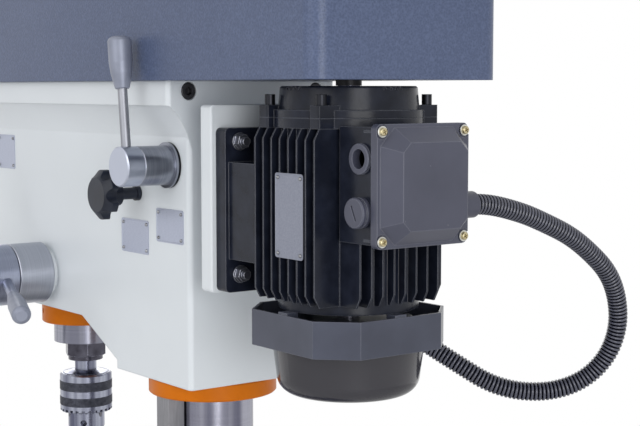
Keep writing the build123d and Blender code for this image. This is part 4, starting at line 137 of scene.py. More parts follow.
hammered_enamel, shader, place = finish(
    "hammered_enamel", (0.08, 0.105, 0.19), metallic=0.0, roughness=0.36, specular=0.3,
)
dimples = step(hammered_enamel, "TexVoronoi", {"Vector": place, "Scale": 620}, feature="SMOOTH_F1")
runs = cloud(hammered_enamel, place, scale=900, detail=3)
uneven = between(hammered_enamel, runs, -0.2, 0.2)
grain = step(hammered_enamel, "Math", {0: dimples, 1: uneven}, operation="ADD")
tone = shades(hammered_enamel, grain, ((0.1, (0.062, 0.083, 0.152)), (0.75, (0.097, 0.126, 0.218))))
patches = cloud(hammered_enamel, place, scale=9, detail=4)
film = shades(hammered_enamel, patches, ((0.3, (0.9, 0.91, 0.93)), (0.7, (1.0, 1.0, 1.0))))
tone = wash(hammered_enamel, tone, film)
relief = emboss(hammered_enamel, grain, strength=0.32, depth=0.0006, surface=soften(hammered_enamel, 0.0015))
rough = between(hammered_enamel, runs, 0.24, 0.42)
feed(hammered_enamel, shader, Base_Color=tone, Roughness=rough, Normal=relief)
dress(hammered_enamel, "base", "column_socket")


# Socket bolts
# Four hexagon bolts hold the column's socket down on the base.
# They are steel with a dull zinc plating that has clouded in patches.

plated_steel, shader, place = finish("plated_steel", (0.3, 0.31, 0.33), metallic=0.9, roughness=0.35)
patches = cloud(plated_steel, place, scale=160, detail=5)
tone = shades(plated_steel, patches, ((0.3, (0.17, 0.17, 0.18)), (0.7, (0.4, 0.41, 0.43))))
relief = emboss(plated_steel, patches, strength=0.1, depth=0.0003, surface=soften(plated_steel, 0.0005))
rough = between(plated_steel, patches, 0.25, 0.5)
feed(plated_steel, shader, Base_Color=tone, Roughness=rough, Normal=relief)
dress(plated_steel, "socket_bolts")


# Column
# A thick steel tube that holds the head, ground on its outside so that the table's bracket slides and
# swings on it.
# The grinding has left fine rings round it, and it has a film of oil, drawn into long dark streaks that are
# painted reflection.

LINE_SHADE = 0.72
OIL_AND_REFLECTION_BLUE = 0.9
ROUGHNESS_SPREAD = (-0.07, 0.1)


def fine_lines(made, place, densities, detail):
    """A cloudy pattern drawn out into lines, from its densities along the three axes."""
    stretched = step(made, "Mapping", {"Vector": place, "Scale": densities})
    return cloud(made, stretched, scale=1.0, detail=detail)


def openness(made, distance, only_local=True):
    """How free a surface is within a distance, from 0 deep in a corner to 1 in the open."""
    sockets = {"Distance": distance}
    return step(made, "AmbientOcclusion", sockets, output=1, samples=8, only_local=only_local)


def ground(name, colour, roughness, rings, reflection_streaks=(12, 12, 12), oil_and_reflection_depth=0.35, recess=0.0):
    """Bright metal with fine lines from its grinding, an oil film whose long streaks are painted reflection,
    and painted shade with some old oil in recesses of a given depth.
    Rings and reflection streaks are the densities of the lines and of the film by axis."""
    made, shader, place = finish(name, colour, metallic=1.0, roughness=roughness)
    lines = fine_lines(made, place, rings, detail=4)
    dark = tuple(LINE_SHADE * part for part in colour)
    tone = shades(made, lines, ((0.25, dark), (0.75, colour)))
    # The film darkens the metal in clouds that the reflection streaks draw out along an axis: an oil film,
    # and where it is drawn long, painted reflection.
    film = fine_lines(made, place, reflection_streaks, detail=3)
    thick = (1 - oil_and_reflection_depth, 1 - oil_and_reflection_depth, 1 - OIL_AND_REFLECTION_BLUE * oil_and_reflection_depth)
    tone = wash(made, tone, shades(made, film, ((0.36, thick), (0.64, (1.0, 1.0, 1.0)))))
    # Where recess is given, the metal is darkened where it is closed in, such as the chuck's key holes:
    # painted shade, with some old oil.
    if recess:
        free = openness(made, recess)
        tone = wash(made, tone, shades(made, free, ((0.3, (0.1, 0.1, 0.12)), (0.8, (1.0, 1.0, 1.0)))))
    relief = emboss(made, lines, strength=0.08, depth=0.0002, surface=soften(made, 0.0006))
    rough = between(made, lines, *(roughness + change for change in ROUGHNESS_SPREAD))
    feed(made, shader, Base_Color=tone, Roughness=rough, Normal=relief)
    return made


# The column's film, drawn into long streaks along its length, is painted reflection.
column_steel = ground(
    "column_steel", (0.4, 0.4, 0.47), roughness=0.2,
    rings=(4, 4, 1500), reflection_streaks=(70, 70, 1), oil_and_reflection_depth=0.6,
)
dress(column_steel, "column")


# Rack
# A steel bar with milled teeth that the table's pinion climbs.
# It stands beside the column and swings round it with the table.

rack_steel = ground("rack_steel", (0.32, 0.32, 0.34), roughness=0.42, rings=(400, 400, 60))
dress(rack_steel, "column_rack")


# Rack collar
# The ring under the head that keeps the rack's upper end against the column.
# It is cast iron in bright orange enamel, sprayed thick enough to show a faint orange peel.

orange_enamel, shader, place = finish(
    "orange_enamel", (0.57, 0.145, 0.003), metallic=0.0, roughness=0.35, specular=0.12,
)
peel = cloud(orange_enamel, place, scale=420, detail=2)
patches = cloud(orange_enamel, place, scale=30, detail=4)
tone = shades(orange_enamel, patches, ((0.25, (0.52, 0.128, 0.002)), (0.75, (0.62, 0.162, 0.004))))
relief = emboss(orange_enamel, peel, strength=0.12, depth=0.0004, surface=soften(orange_enamel, 0.001))
rough = between(orange_enamel, peel, 0.28, 0.42)
feed(orange_enamel, shader, Base_Color=tone, Roughness=rough, Normal=relief)
dress(orange_enamel, "rack_collar")


# Table bracket
# The split casting that carries the table on the column, with its tilt bolt and clamp lever.
# The casting has the base's hammered enamel; the bolt is plated and the lever is turned bar.

turned_bar = ground("turned_bar", (0.5, 0.52, 0.56), roughness=0.3, rings=(1400, 6, 6))
dress(hammered_enamel, "table_bracket")
dress(plated_steel, "tilt_bolt")
dress(turned_bar, "bracket_clamp")


# Lift crank
# The shaft with its pinion and cranked arm, blackened against rust, that winds the table up and down.
# Its grip is a black moulding with a fine leather grain, turning on the crank's pin.

black_oxide, shader, place = finish("black_oxide", (0.035, 0.035, 0.04), metallic=0.6, roughness=0.4)
patches = cloud(black_oxide, place, scale=120, detail=5)
tone = shades(black_oxide, patches, ((0.3, (0.02, 0.02, 0.024)), (0.75, (0.06, 0.06, 0.068))))
relief = emboss(black_oxide, patches, strength=0.1, depth=0.0003, surface=soften(black_oxide, 0.0006))
rough = between(black_oxide, patches, 0.3, 0.5)
feed(black_oxide, shader, Base_Color=tone, Roughness=rough, Normal=relief)
dress(black_oxide, "lift_crank")

black_moulding, shader, place = finish(
    "black_moulding", (0.013, 0.016, 0.026), metallic=0.0, roughness=0.3, specular=0.28,
)
leather = step(black_moulding, "TexVoronoi", {"Vector": place, "Scale": 900}, feature="SMOOTH_F1")
patches = cloud(black_moulding, place, scale=45, detail=4)
tone = shades(black_moulding, patches, ((0.3, (0.009, 0.0115, 0.02)), (0.75, (0.019, 0.024, 0.039))))
relief = emboss(black_moulding, leather, strength=0.12, depth=0.0003, surface=soften(black_moulding, 0.0008))
rough = between(black_moulding, patches, 0.26, 0.4)
feed(black_moulding, shader, Base_Color=tone, Roughness=rough, Normal=relief)
dress(black_moulding, "crank_grip")


# Table
# A grey iron casting, planed on top with two clamping slots and a hole under the spindle.
# The bare iron keeps the cutter's fine lines and has darkened here and there with old oil.

planed_iron, shader, place = finish("planed_iron", (0.33, 0.34, 0.36), metallic=0.85, roughness=0.4)
lines = fine_lines(planed_iron, place, (5, 900, 5), detail=3)
stains = cloud(planed_iron, place, scale=14, detail=6)
tone = shades(planed_iron, stains, ((0.3, (0.2, 0.2, 0.2)), (0.6, (0.34, 0.345, 0.36))))
relief = emboss(planed_iron, lines, strength=0.12, depth=0.0003, surface=soften(planed_iron, 0.001))
rough = between(planed_iron, stains, 0.5, 0.32)
feed(planed_iron, shader, Base_Color=tone, Roughness=rough, Normal=relief)
dress(planed_iron, "table")


# Head
# The large hollow casting on top of the column that holds the quill, the feed and the motor slide.
# It is filled, rubbed down and sprayed in a smooth off-white enamel; the motor plate matches it.

head_enamel, shader, place = finish("head_enamel", (0.66, 0.7, 0.735), metallic=0.0, roughness=0.36)
peel = cloud(head_enamel, place, scale=520, detail=2)
filler = cloud(head_enamel, place, scale=16, detail=3)
grime = cloud(head_enamel, place, scale=4, detail=6)
tone = shades(head_enamel, grime, ((0.3, (0.63, 0.665, 0.7)), (0.65, (0.68, 0.72, 0.755))))
waves = emboss(head_enamel, filler, strength=0.05, depth=0.0008, surface=soften(head_enamel, 0.0018))
relief = emboss(head_enamel, peel, strength=0.06, depth=0.0003, surface=waves)
rough = between(head_enamel, peel, 0.3, 0.42)
feed(head_enamel, shader, Base_Color=tone, Roughness=rough, Normal=relief)
dress(head_enamel, "head_casting", "motor_plate")


# Flange screws
# Two black socket-head screws, sunk in counterbores in the head's rear edge.
# They are rolled alloy steel with a fluted head, a hexagon socket and an oiled black finish.

FLANGE_SCREW_X = 0.065
FLANGE_SCREW_SPACING = 0.145
FLANGE_SCREW_DROP = 0.0094
COUNTERBORE_DEPTH = 0.01
SOCKET_HEAD_R = 0.0075
SOCKET_HEAD_HEIGHT = 0.009
SOCKET_HEAD_SIDES = 48
FLUTE_MARGIN = 0.0001
FLUTE_DEPTH = 0.0003
CROWN_WIDTH = 0.0009
CROWN_HEIGHT = 0.0005
HEX_SOCKET_R = 0.0041
HEX_SOCKET_DEPTH = 0.005
FACING = 0.9  # a face looks along an axis when its normal agrees at least this well


def alone():
    """Leaves edit mode with nothing selected, as each new piece starts."""
    if bpy.context.object and bpy.context.object.mode == "EDIT":
        bpy.ops.object.mode_set(mode="OBJECT")
    bpy.ops.object.select_all(action="DESELECT")


def settle(name):
    """Names the piece being made and puts its place into its mesh."""
    if bpy.context.object.mode == "EDIT":
        bpy.ops.object.mode_set(mode="OBJECT")
    bpy.context.object.name = name
    bpy.context.object.data.name = name
    bpy.ops.object.transform_apply(location=True, rotation=True, scale=True)
    return bpy.context.object


def rearward_cylinder(name, seat, radius, height, sides):
    """A cylinder that stands on a seat and points to the rear."""
    alone()
    bpy.ops.mesh.primitive_cylinder_add(
        vertices=sides, radius=radius, depth=height,
        location=seat + Vector((0, height / 2, 0)), rotation=(pi / 2, 0, 0),
    )
    return settle(name)


def pick(kind, wanted):
    """In edit mode, selects the faces, edges or vertices that a test accepts."""
    piece = bpy.context.object
    bpy.ops.mesh.select_mode(type={"faces": "FACE", "edges": "EDGE", "verts": "VERT"}[kind])
    bpy.ops.mesh.select_all(action="DESELECT")
    bpy.ops.object.mode_set(mode="OBJECT")
    mesh = piece.data
    chosen = {"faces": mesh.polygons, "edges": mesh.edges, "verts": mesh.vertices}[kind]
    for item in chosen:
        item.select = bool(wanted(mesh, item))
    bpy.ops.object.mode_set(mode="EDIT")


def take_up(piece):
    """Makes a piece the only one selected."""
    alone()
    bpy.context.view_layer.objects.active = piece
    piece.select_set(True)


def carve(piece, cutter):
    """Cuts one piece out of another and removes the cutter."""
    take_up(piece)
    cut = piece.modifiers.new("cut", "BOOLEAN")
    cut.object = cutter
    cut.solver = "EXACT"
    bpy.ops.object.modifier_apply(modifier="cut")
    bpy.data.objects.remove(cutter)


def another(piece, name, offset):
    """A copy of a finished piece with a mesh of its own, moved by an offset that goes into its mesh."""
    copy = piece.copy()
    copy.data = piece.data.copy()
    copy.name = name
    copy.data.name = name
    bpy.context.scene.collection.objects.link(copy)
    take_up(copy)
    copy.location = offset
    bpy.ops.object.transform_apply(location=True)
    return copy


head_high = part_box("head_casting")[1]
flange_seat = Vector((FLANGE_SCREW_X, head_high.y - COUNTERBORE_DEPTH, head_high.z - FLANGE_SCREW_DROP))
flange_screw = rearward_cylinder(
    "flange_screw_right", flange_seat, SOCKET_HEAD_R, SOCKET_HEAD_HEIGHT, SOCKET_HEAD_SIDES,
)
bpy.ops.object.mode_set(mode="EDIT")
pick("faces", lambda mesh, face: abs(face.normal.y) < FACING and face.index % 2 == 0)
bpy.ops.mesh.inset(thickness=FLUTE_MARGIN, use_individual=True)
bpy.ops.transform.shrink_fatten(value=-FLUTE_DEPTH)
pick("faces", lambda mesh, face: face.normal.y > FACING)
bpy.ops.mesh.inset(thickness=CROWN_WIDTH)
bpy.ops.transform.translate(value=(0, CROWN_HEIGHT, 0))
bpy.ops.object.mode_set(mode="OBJECT")
socket_floor = Vector((0, SOCKET_HEAD_HEIGHT + CROWN_HEIGHT - HEX_SOCKET_DEPTH, 0))
socket_cutter = rearward_cylinder(
    "socket_cutter", flange_seat + socket_floor, HEX_SOCKET_R, 2 * HEX_SOCKET_DEPTH, sides=6,
)
carve(flange_screw, socket_cutter)
flange_screw.data.materials.append(black_oxide)
flange_screw_left = another(flange_screw, "flange_screw_left", (-FLANGE_SCREW_SPACING, 0, 0))
for screw in (flange_screw, flange_screw_left):
    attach(screw, "frame")


# Head plates
# Three thin plates of brushed, anodised aluminium on the head's right side.
# Each is stamped with a raised rim and held by a small round-head pin in each corner.

PLATE_THICKNESS = 0.0006
PLATE_CORNER_R = 0.0025
PLATE_RIM = 0.0009
PLATE_RIM_SLOPE = 0.0004
PLATE_RIM_HEIGHT = 0.00025
PIN_R = 0.0017
PIN_SEAT = 0.0004
PIN_FROM_EDGE = 0.0038
HEAD_WALL = 0.066

anodised_sheet, shader, place = finish("anodised_sheet", (0.43, 0.46, 0.56), metallic=0.75, roughness=0.36)
brushing = fine_lines(anodised_sheet, place, (300, 300, 3000), detail=3)
tone = shades(anodised_sheet, brushing, ((0.25, (0.36, 0.39, 0.49)), (0.75, (0.48, 0.51, 0.61))))
relief = emboss(anodised_sheet, brushing, strength=0.1, depth=0.0001)
rough = between(anodised_sheet, brushing, 0.3, 0.45)
feed(anodised_sheet, shader, Base_Color=tone, Roughness=rough, Normal=relief)


def run_along(mesh, edge, axis):
    """How far an edge runs along an axis."""
    start, end = (getattr(mesh.vertices[index].co, axis) for index in edge.vertices)
    return abs(end - start)


def pinned_plate(name, back_x, y_span, z_span, body, sheet=anodised_sheet):
    """A sheet on a face that looks to +X: rounded corners, a raised rim and four pins."""
    middle = Vector((back_x + PLATE_THICKNESS / 2, sum(y_span) / 2, sum(z_span) / 2))
    size = Vector((PLATE_THICKNESS, y_span[1] - y_span[0], z_span[1] - z_span[0]))
    alone()
    bpy.ops.mesh.primitive_cube_add(size=1, location=middle, scale=size)
    plate = settle(name)
    bpy.ops.object.mode_set(mode="EDIT")
    pick("edges", lambda mesh, edge: run_along(mesh, edge, "x") > PLATE_THICKNESS / 2)
    bpy.ops.mesh.bevel(offset=PLATE_CORNER_R, segments=5, affect="EDGES")
    pick("faces", lambda mesh, face: face.normal.x > FACING)
    bpy.ops.mesh.inset(thickness=PLATE_RIM)
    bpy.ops.mesh.inset(thickness=PLATE_RIM_SLOPE)
    bpy.ops.transform.translate(value=(-PLATE_RIM_HEIGHT, 0, 0))
    bpy.ops.object.mode_set(mode="OBJECT")
    plate.data.materials.append(sheet)
    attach(plate, body)

    across = size.y / 2 - PIN_FROM_EDGE
    up = size.z / 2 - PIN_FROM_EDGE
    seat = Vector((back_x + PIN_SEAT, middle.y - across, middle.z - up))
    alone()
    bpy.ops.mesh.primitive_uv_sphere_add(segments=16, ring_count=8, radius=PIN_R, location=seat)
    first_pin = settle(f"{name}_pin_0")
    bpy.ops.object.mode_set(mode="EDIT")
    bpy.ops.mesh.select_all(action="SELECT")
    bpy.ops.mesh.bisect(plane_co=seat, plane_no=(1, 0, 0), clear_inner=True, use_fill=True)
    bpy.ops.object.mode_set(mode="OBJECT")
    bpy.ops.object.shade_smooth_by_angle(angle=radians(50))
    first_pin.data.materials.append(plated_steel)
    for index, (side, end) in enumerate(((0, 0), (0, 1), (1, 0), (1, 1))):
        offset = (0, 2 * across * side, 2 * up * end)
        pin = another(first_pin, f"{name}_pin_{index}", offset) if index else first_pin
        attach(pin, body)


pinned_plate("speed_plate", HEAD_WALL, (-0.061, -0.009), (0.843, 0.876), "frame")
pinned_plate("care_plate", HEAD_WALL, (0.006, 0.0545), (0.858, 0.89), "frame")
pinned_plate("front_plate", HEAD_WALL, (-0.345, -0.302), (0.913, 0.951), "frame")


# Quill
# The ground sleeve that carries the spindle down through the head, with an orange clamp collar.
# The hexagon nut under it, black and oiled, presses the chuck's arbor off its taper.

# The quill's film, drawn into long streaks along its length, is painted reflection.
quill_steel = ground(
    "quill_steel", (0.38, 0.385, 0.45), roughness=0.22,
    rings=(5, 5, 1800), reflection_streaks=(80, 80, 1), oil_and_reflection_depth=0.45,
)
bearing_steel = ground("bearing_steel", (0.5, 0.51, 0.54), roughness=0.22, rings=(5, 5, 1500))
dress(quill_steel, "quill", "spindle")
dress(bearing_steel, "quill_bearings", "drive_bearings", "motor_bearings")
dress(orange_enamel, "stop_collar")


def paint_over(made, share, tone, colour):
    """Covers a tone with a colour, as far as the share says."""
    over = (*colour, 1) if isinstance(colour, tuple) else colour
    return step(made, "MixRGB", {"Fac": share, "Color1": tone, "Color2": over})


def edge_highlight_and_wear(made, tone, surface, start, full, most, edge_light):
    """Lightens a tone towards an edge colour along the edges that a softened surface rounds over: a painted
    edge highlight, and partly wear.
    Start and full are how well that surface agrees with the faces there, where 1 is flat."""
    flat = step(made, "NewGeometry", {}, output=1)
    agree = step(made, "VectorMath", {0: surface, 1: flat}, output=1, operation="DOT_PRODUCT")
    edge_light_share = step(made, "MapRange", {"Value": agree, "From Min": start, "From Max": full, "To Max": most})
    return paint_over(made, edge_light_share, tone, edge_light)


nut_steel, shader, place = finish("nut_steel", (0.085, 0.082, 0.102), metallic=0.9, roughness=0.2)
patches = cloud(nut_steel, place, scale=90, detail=4)
tone = shades(nut_steel, patches, ((0.3, (0.04, 0.038, 0.05)), (0.7, (0.1, 0.098, 0.125))))
soft_edge = soften(nut_steel, 0.0012, samples=6)
# The nut's lighter hexagon edges are a painted highlight, and partly wear.
tone = edge_highlight_and_wear(nut_steel, tone, soft_edge, start=0.98, full=0.88, most=0.9, edge_light=(0.42, 0.43, 0.52))
rough = between(nut_steel, patches, 0.14, 0.3)
feed(nut_steel, shader, Base_Color=tone, Roughness=rough, Normal=soft_edge)
dress(nut_steel, "spindle_nut")


# Chuck
# A three-jaw drill chuck: a turned body, a sleeve with key teeth, and three hardened jaws.
# The sleeve has two bands rolled with a knurl, dark with oil, between bright turned rings.

KNURL_DROPS = (("knurl_upper", 0.0189, 0.0085), ("knurl_lower", 0.0362, 0.0262))
KNURL_COLUMNS = 110
KNURL_CUTS = 5
KNURL_HEIGHT = 0.0004
KNURL_WALL = 0.0008

# The chuck's long film streaks are painted reflection, and the darkening in its key holes and slots is
# painted shade.
chuck_steel = ground(
    "chuck_steel", (0.42, 0.44, 0.53), roughness=0.2,
    rings=(4, 4, 1600), reflection_streaks=(90, 90, 1), oil_and_reflection_depth=0.7, recess=0.006,
)
jaw_steel = ground("jaw_steel", (0.3, 0.3, 0.33), roughness=0.36, rings=(60, 60, 900))
dress(chuck_steel, "chuck_body", "chuck_sleeve")
dress(jaw_steel, "chuck_jaw_a", "chuck_jaw_b", "chuck_jaw_c")

knurled_steel, shader, place = finish("knurled_steel", (0.055, 0.058, 0.074), metallic=0.9, roughness=0.42)
oil = cloud(knurled_steel, place, scale=220, detail=4)
tone = shades(knurled_steel, oil, ((0.3, (0.035, 0.037, 0.049)), (0.75, (0.085, 0.089, 0.112))))
feed(knurled_steel, shader, Base_Color=tone, Roughness=between(knurled_steel, oil, 0.35, 0.55))

sleeve_low, sleeve_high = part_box("chuck_sleeve")
for name, lower, upper in KNURL_DROPS:
    height = lower - upper
    alone()
    bpy.ops.mesh.primitive_cylinder_add(
        vertices=KNURL_COLUMNS, radius=sleeve_high.x, depth=height, end_fill_type="NOTHING",
        location=(0, (sleeve_low.y + sleeve_high.y) / 2, sleeve_high.z - (lower + upper) / 2),
    )
    band = settle(name)
    bpy.ops.object.mode_set(mode="EDIT")
    pick("edges", lambda mesh, edge: run_along(mesh, edge, "z") > height / 2)
    bpy.ops.mesh.subdivide(number_cuts=KNURL_CUTS)
    bpy.ops.mesh.select_all(action="SELECT")
    bpy.ops.mesh.poke(offset=KNURL_HEIGHT)
    bpy.ops.object.mode_set(mode="OBJECT")
    wall = band.modifiers.new("wall", "SOLIDIFY")
    wall.thickness = KNURL_WALL
    wall.offset = -1
    bpy.ops.object.modifier_apply(modifier="wall")
    band.data.materials.append(knurled_steel)
    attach(band, "sleeve")


# Feed
# The cross shaft whose pinion drives the quill, with a hub, three screwed spokes and tapered handles.
# Hub, ring and spokes are turned steel; the handles are moulded in a pale grey; a spring lifts the quill.

# The hub's film, drawn into streaks along its length, is painted reflection.
turned_hub = ground(
    "turned_hub", (0.46, 0.49, 0.6), roughness=0.3,
    rings=(1500, 6, 6), reflection_streaks=(4, 40, 40), oil_and_reflection_depth=0.25,
)
shaft_steel = ground("shaft_steel", (0.45, 0.45, 0.48), roughness=0.28, rings=(1500, 6, 6))
dress(shaft_steel, "feed_shaft")
dress(turned_hub, "feed_hub", "feed_spokes", "spring_housing")

dial_steel, shader, place = finish("dial_steel", (0.46, 0.48, 0.54), metallic=1.0, roughness=0.34)
lines = fine_lines(dial_steel, place, (1500, 6, 6), detail=4)
tone = shades(dial_steel, lines, ((0.25, (0.35, 0.365, 0.42)), (0.75, (0.47, 0.49, 0.55))))
relief = emboss(dial_steel, lines, strength=0.08, depth=0.0002, surface=soften(dial_steel, 0.0006))
rough = between(dial_steel, lines, 0.27, 0.44)
feed(dial_steel, shader, Base_Color=tone, Roughness=rough, Normal=relief)
dress(dial_steel, "depth_ring")

grey_moulding, shader, place = finish(
    "grey_moulding", (0.24, 0.26, 0.325), metallic=0.35, roughness=0.36, specular=0.35,
)
flow = cloud(grey_moulding, place, scale=60, detail=4)
pores = cloud(grey_moulding, place, scale=1300, detail=2)
tone = shades(grey_moulding, flow, ((0.3, (0.215, 0.233, 0.295)), (0.7, (0.265, 0.285, 0.355))))
relief = emboss(grey_moulding, pores, strength=0.08, depth=0.0002, surface=soften(grey_moulding, 0.0008))
rough = between(grey_moulding, pores, 0.32, 0.46)
feed(grey_moulding, shader, Base_Color=tone, Roughness=rough, Normal=relief)
dress(grey_moulding, "feed_handles")

blued_strip, shader, place = finish("blued_strip", (0.14, 0.15, 0.19), metallic=1.0, roughness=0.3)
heat = cloud(blued_strip, place, scale=70, detail=3)
blues = ((0.3, (0.06, 0.08, 0.17)), (0.55, (0.15, 0.15, 0.2)), (0.8, (0.24, 0.19, 0.14)))
tone = shades(blued_strip, heat, blues)
feed(blued_strip, shader, Base_Color=tone, Roughness=between(blued_strip, heat, 0.22, 0.4))
dress(blued_strip, "return_spring")


# Belt drive
# Stepped pulleys on the spindle's sleeve, the idler and the motor, joined by two rubber V-belts.
# Two pulleys are turned from cast aluminium; the motor's and the idler's arm are black steel; the pan
# below is sheet steel with the base's enamel.

pulley_metal, shader, place = finish("pulley_metal", (0.56, 0.57, 0.59), metallic=1.0, roughness=0.34)
cuts = fine_lines(pulley_metal, place, (8, 8, 1600), detail=4)
tone = shades(pulley_metal, cuts, ((0.25, (0.42, 0.43, 0.45)), (0.75, (0.6, 0.61, 0.63))))
relief = emboss(pulley_metal, cuts, strength=0.15, depth=0.0002)
rough = between(pulley_metal, cuts, 0.26, 0.45)
feed(pulley_metal, shader, Base_Color=tone, Roughness=rough, Normal=relief)
dress(pulley_metal, "spindle_pulley", "idler_pulley")
dress(black_oxide, "idler_arm", "motor_pulley")

belt_rubber, shader, place = finish("belt_rubber", (0.02, 0.02, 0.021), metallic=0.0, roughness=0.7)
cloth = cloud(belt_rubber, place, scale=900, detail=4)
chalk = cloud(belt_rubber, place, scale=35, detail=5)
tone = shades(belt_rubber, chalk, ((0.35, (0.015, 0.015, 0.016)), (0.8, (0.045, 0.044, 0.043))))
relief = emboss(belt_rubber, cloth, strength=0.3, depth=0.0004)
rough = between(belt_rubber, cloth, 0.6, 0.8)
feed(belt_rubber, shader, Base_Color=tone, Roughness=rough, Normal=relief)
dress(belt_rubber, "v_belts")
dress(hammered_enamel, "belt_pan")


# Belt cover
# The deep hinged hood over the belts, pressed and welded from sheet steel.
# It has the same hammered blue-grey enamel as the base.

dress(hammered_enamel, "belt_cover")


# Motor slide
# Two ground bars carry the off-white motor plate; a geared lever pulls it back to tighten the belts.
# The lever's hub is turned steel with a polished cap, a black band at the wall that is painted shade, and a
# tapered grey grip, and a black star knob locks the slide.

HUB_WALL_SHADE_LENGTH = 0.0025
HUB_CAP_LENGTH = 0.0187
HUB_GROOVE = 0.0002

slide_steel = ground("slide_steel", (0.45, 0.45, 0.48), roughness=0.28, rings=(6, 1500, 6))
dress(slide_steel, "slide_bars")


def beyond(made, value, limit, blur):
    """Goes from 0 to 1 where a value passes a limit, or back if the blur is negative."""
    return step(made, "MapRange", {"Value": value, "From Min": limit - blur, "From Max": limit + blur})


lever_hub, shader, place = finish("lever_hub", (0.46, 0.48, 0.54), metallic=1.0, roughness=0.3)
lines = fine_lines(lever_hub, place, (1500, 6, 6), detail=4)
tone = shades(lever_hub, lines, ((0.25, (0.24, 0.255, 0.3)), (0.75, (0.34, 0.355, 0.41))))
outward = step(lever_hub, "SeparateXYZ", {"Vector": place})
hub_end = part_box("tension_hub")[1].x
at_cap = beyond(lever_hub, outward, hub_end - HUB_CAP_LENGTH, HUB_GROOVE)
# The black band where the hub meets the wall is painted shade.
painted_wall_shade = beyond(lever_hub, outward, HEAD_WALL + HUB_WALL_SHADE_LENGTH, -HUB_GROOVE / 2)
tone = paint_over(lever_hub, at_cap, tone, (0.47, 0.5, 0.59))
tone = paint_over(lever_hub, painted_wall_shade, tone, (0.02, 0.02, 0.024))
relief = emboss(lever_hub, lines, strength=0.08, depth=0.0002, surface=soften(lever_hub, 0.0006))
rough = between(lever_hub, lines, 0.22, 0.4)
feed(lever_hub, shader, Base_Color=tone, Roughness=rough, Normal=relief)
dress(lever_hub, "tension_hub")

lever_bar = ground("lever_bar", (0.4, 0.41, 0.445), roughness=0.42, rings=(400, 400, 20))
dress(lever_bar, "tension_lever")
dress(grey_moulding, "tension_grip")
dress(black_moulding, "lock_knob")


# Motor
# A totally enclosed motor: a finned cast housing on a foot, an end shield above and a fan cowl below.
# Housing and shield are black enamel on a fine sand casting, and the cowl is sheet steel in dark grey;
# foot nuts are plated, the shield's screws are black, and the stator inside is wound with copper.

SHIELD_SCREWS_REACH = 0.011
COWL_BOWL_HEIGHT = 0.042
COWL_SEAM = 0.0003
END_TURNS = 0.0145
PARTING = 0.0005

motor_enamel, shader, place = finish(
    "motor_enamel", (0.012, 0.0145, 0.025), metallic=0.0, roughness=0.2, specular=0.2,
)
sand = cloud(motor_enamel, place, scale=380, detail=5)
lumps = cloud(motor_enamel, place, scale=40, detail=3)
dust = cloud(motor_enamel, place, scale=60, detail=6)
tone = shades(motor_enamel, dust, ((0.35, (0.008, 0.01, 0.018)), (0.75, (0.017, 0.0205, 0.0345))))
soft_edge = soften(motor_enamel, 0.0012, samples=6)
# The lighter fin and rib edges are a painted highlight, and partly worn paint.
tone = edge_highlight_and_wear(motor_enamel, tone, soft_edge, start=0.96, full=0.8, most=0.9, edge_light=(0.15, 0.158, 0.185))
waves = emboss(motor_enamel, lumps, strength=0.1, depth=0.0006, surface=soft_edge)
relief = emboss(motor_enamel, sand, strength=0.14, depth=0.0003, surface=waves)
rough = between(motor_enamel, sand, 0.16, 0.3)
feed(motor_enamel, shader, Base_Color=tone, Roughness=rough, Normal=relief)
dress(motor_enamel, "motor_housing", "end_shield")

motor_fasteners, shader, place = finish(
    "motor_fasteners", (0.16, 0.165, 0.19), metallic=0.85, roughness=0.34,
)
patches = cloud(motor_fasteners, place, scale=70, detail=3)
tone = shades(motor_fasteners, patches, ((0.3, (0.13, 0.135, 0.16)), (0.7, (0.22, 0.228, 0.27))))
# The nuts and studs are darkened where other parts close round them: painted shade.
free = openness(motor_fasteners, 0.005, only_local=False)
painted_shade_near_parts = shades(motor_fasteners, free, ((0.2, (0.15, 0.15, 0.17)), (0.65, (1.0, 1.0, 1.0))))
tone = wash(motor_fasteners, tone, painted_shade_near_parts)
soft_edge = soften(motor_fasteners, 0.0007, samples=6)
# The lighter edges of the nuts and studs are a painted highlight, and partly wear.
tone = edge_highlight_and_wear(motor_fasteners, tone, soft_edge, start=0.98, full=0.88, most=0.9, edge_light=(0.62, 0.64, 0.72))
height = step(motor_fasteners, "SeparateXYZ", {"Vector": place}, output=2)
shield_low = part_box("end_shield")[0].z
upper = beyond(motor_fasteners, height, shield_low - SHIELD_SCREWS_REACH, PARTING)
tone = paint_over(motor_fasteners, upper, tone, (0.02, 0.021, 0.026))
rough = between(motor_fasteners, patches, 0.26, 0.42)
feed(motor_fasteners, shader, Base_Color=tone, Roughness=rough, Normal=soft_edge)
dress(motor_fasteners, "motor_bolts")

cowl_enamel, shader, place = finish(
    "cowl_enamel", (0.054, 0.062, 0.1), metallic=0.0, roughness=0.3, specular=0.4,
)
peel = cloud(cowl_enamel, place, scale=480, detail=3)
dust = cloud(cowl_enamel, place, scale=26, detail=6)
tone = shades(cowl_enamel, dust, ((0.3, (0.04, 0.045, 0.068)), (0.75, (0.06, 0.067, 0.098))))
height = step(cowl_enamel, "SeparateXYZ", {"Vector": place}, output=2)
cowl_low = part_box("fan_cowl")[0].z
bowl = beyond(cowl_enamel, height, cowl_low + COWL_BOWL_HEIGHT, -COWL_SEAM)
tone = paint_over(cowl_enamel, bowl, tone, (0.032, 0.031, 0.038))
soft_edge = soften(cowl_enamel, 0.001, samples=6)
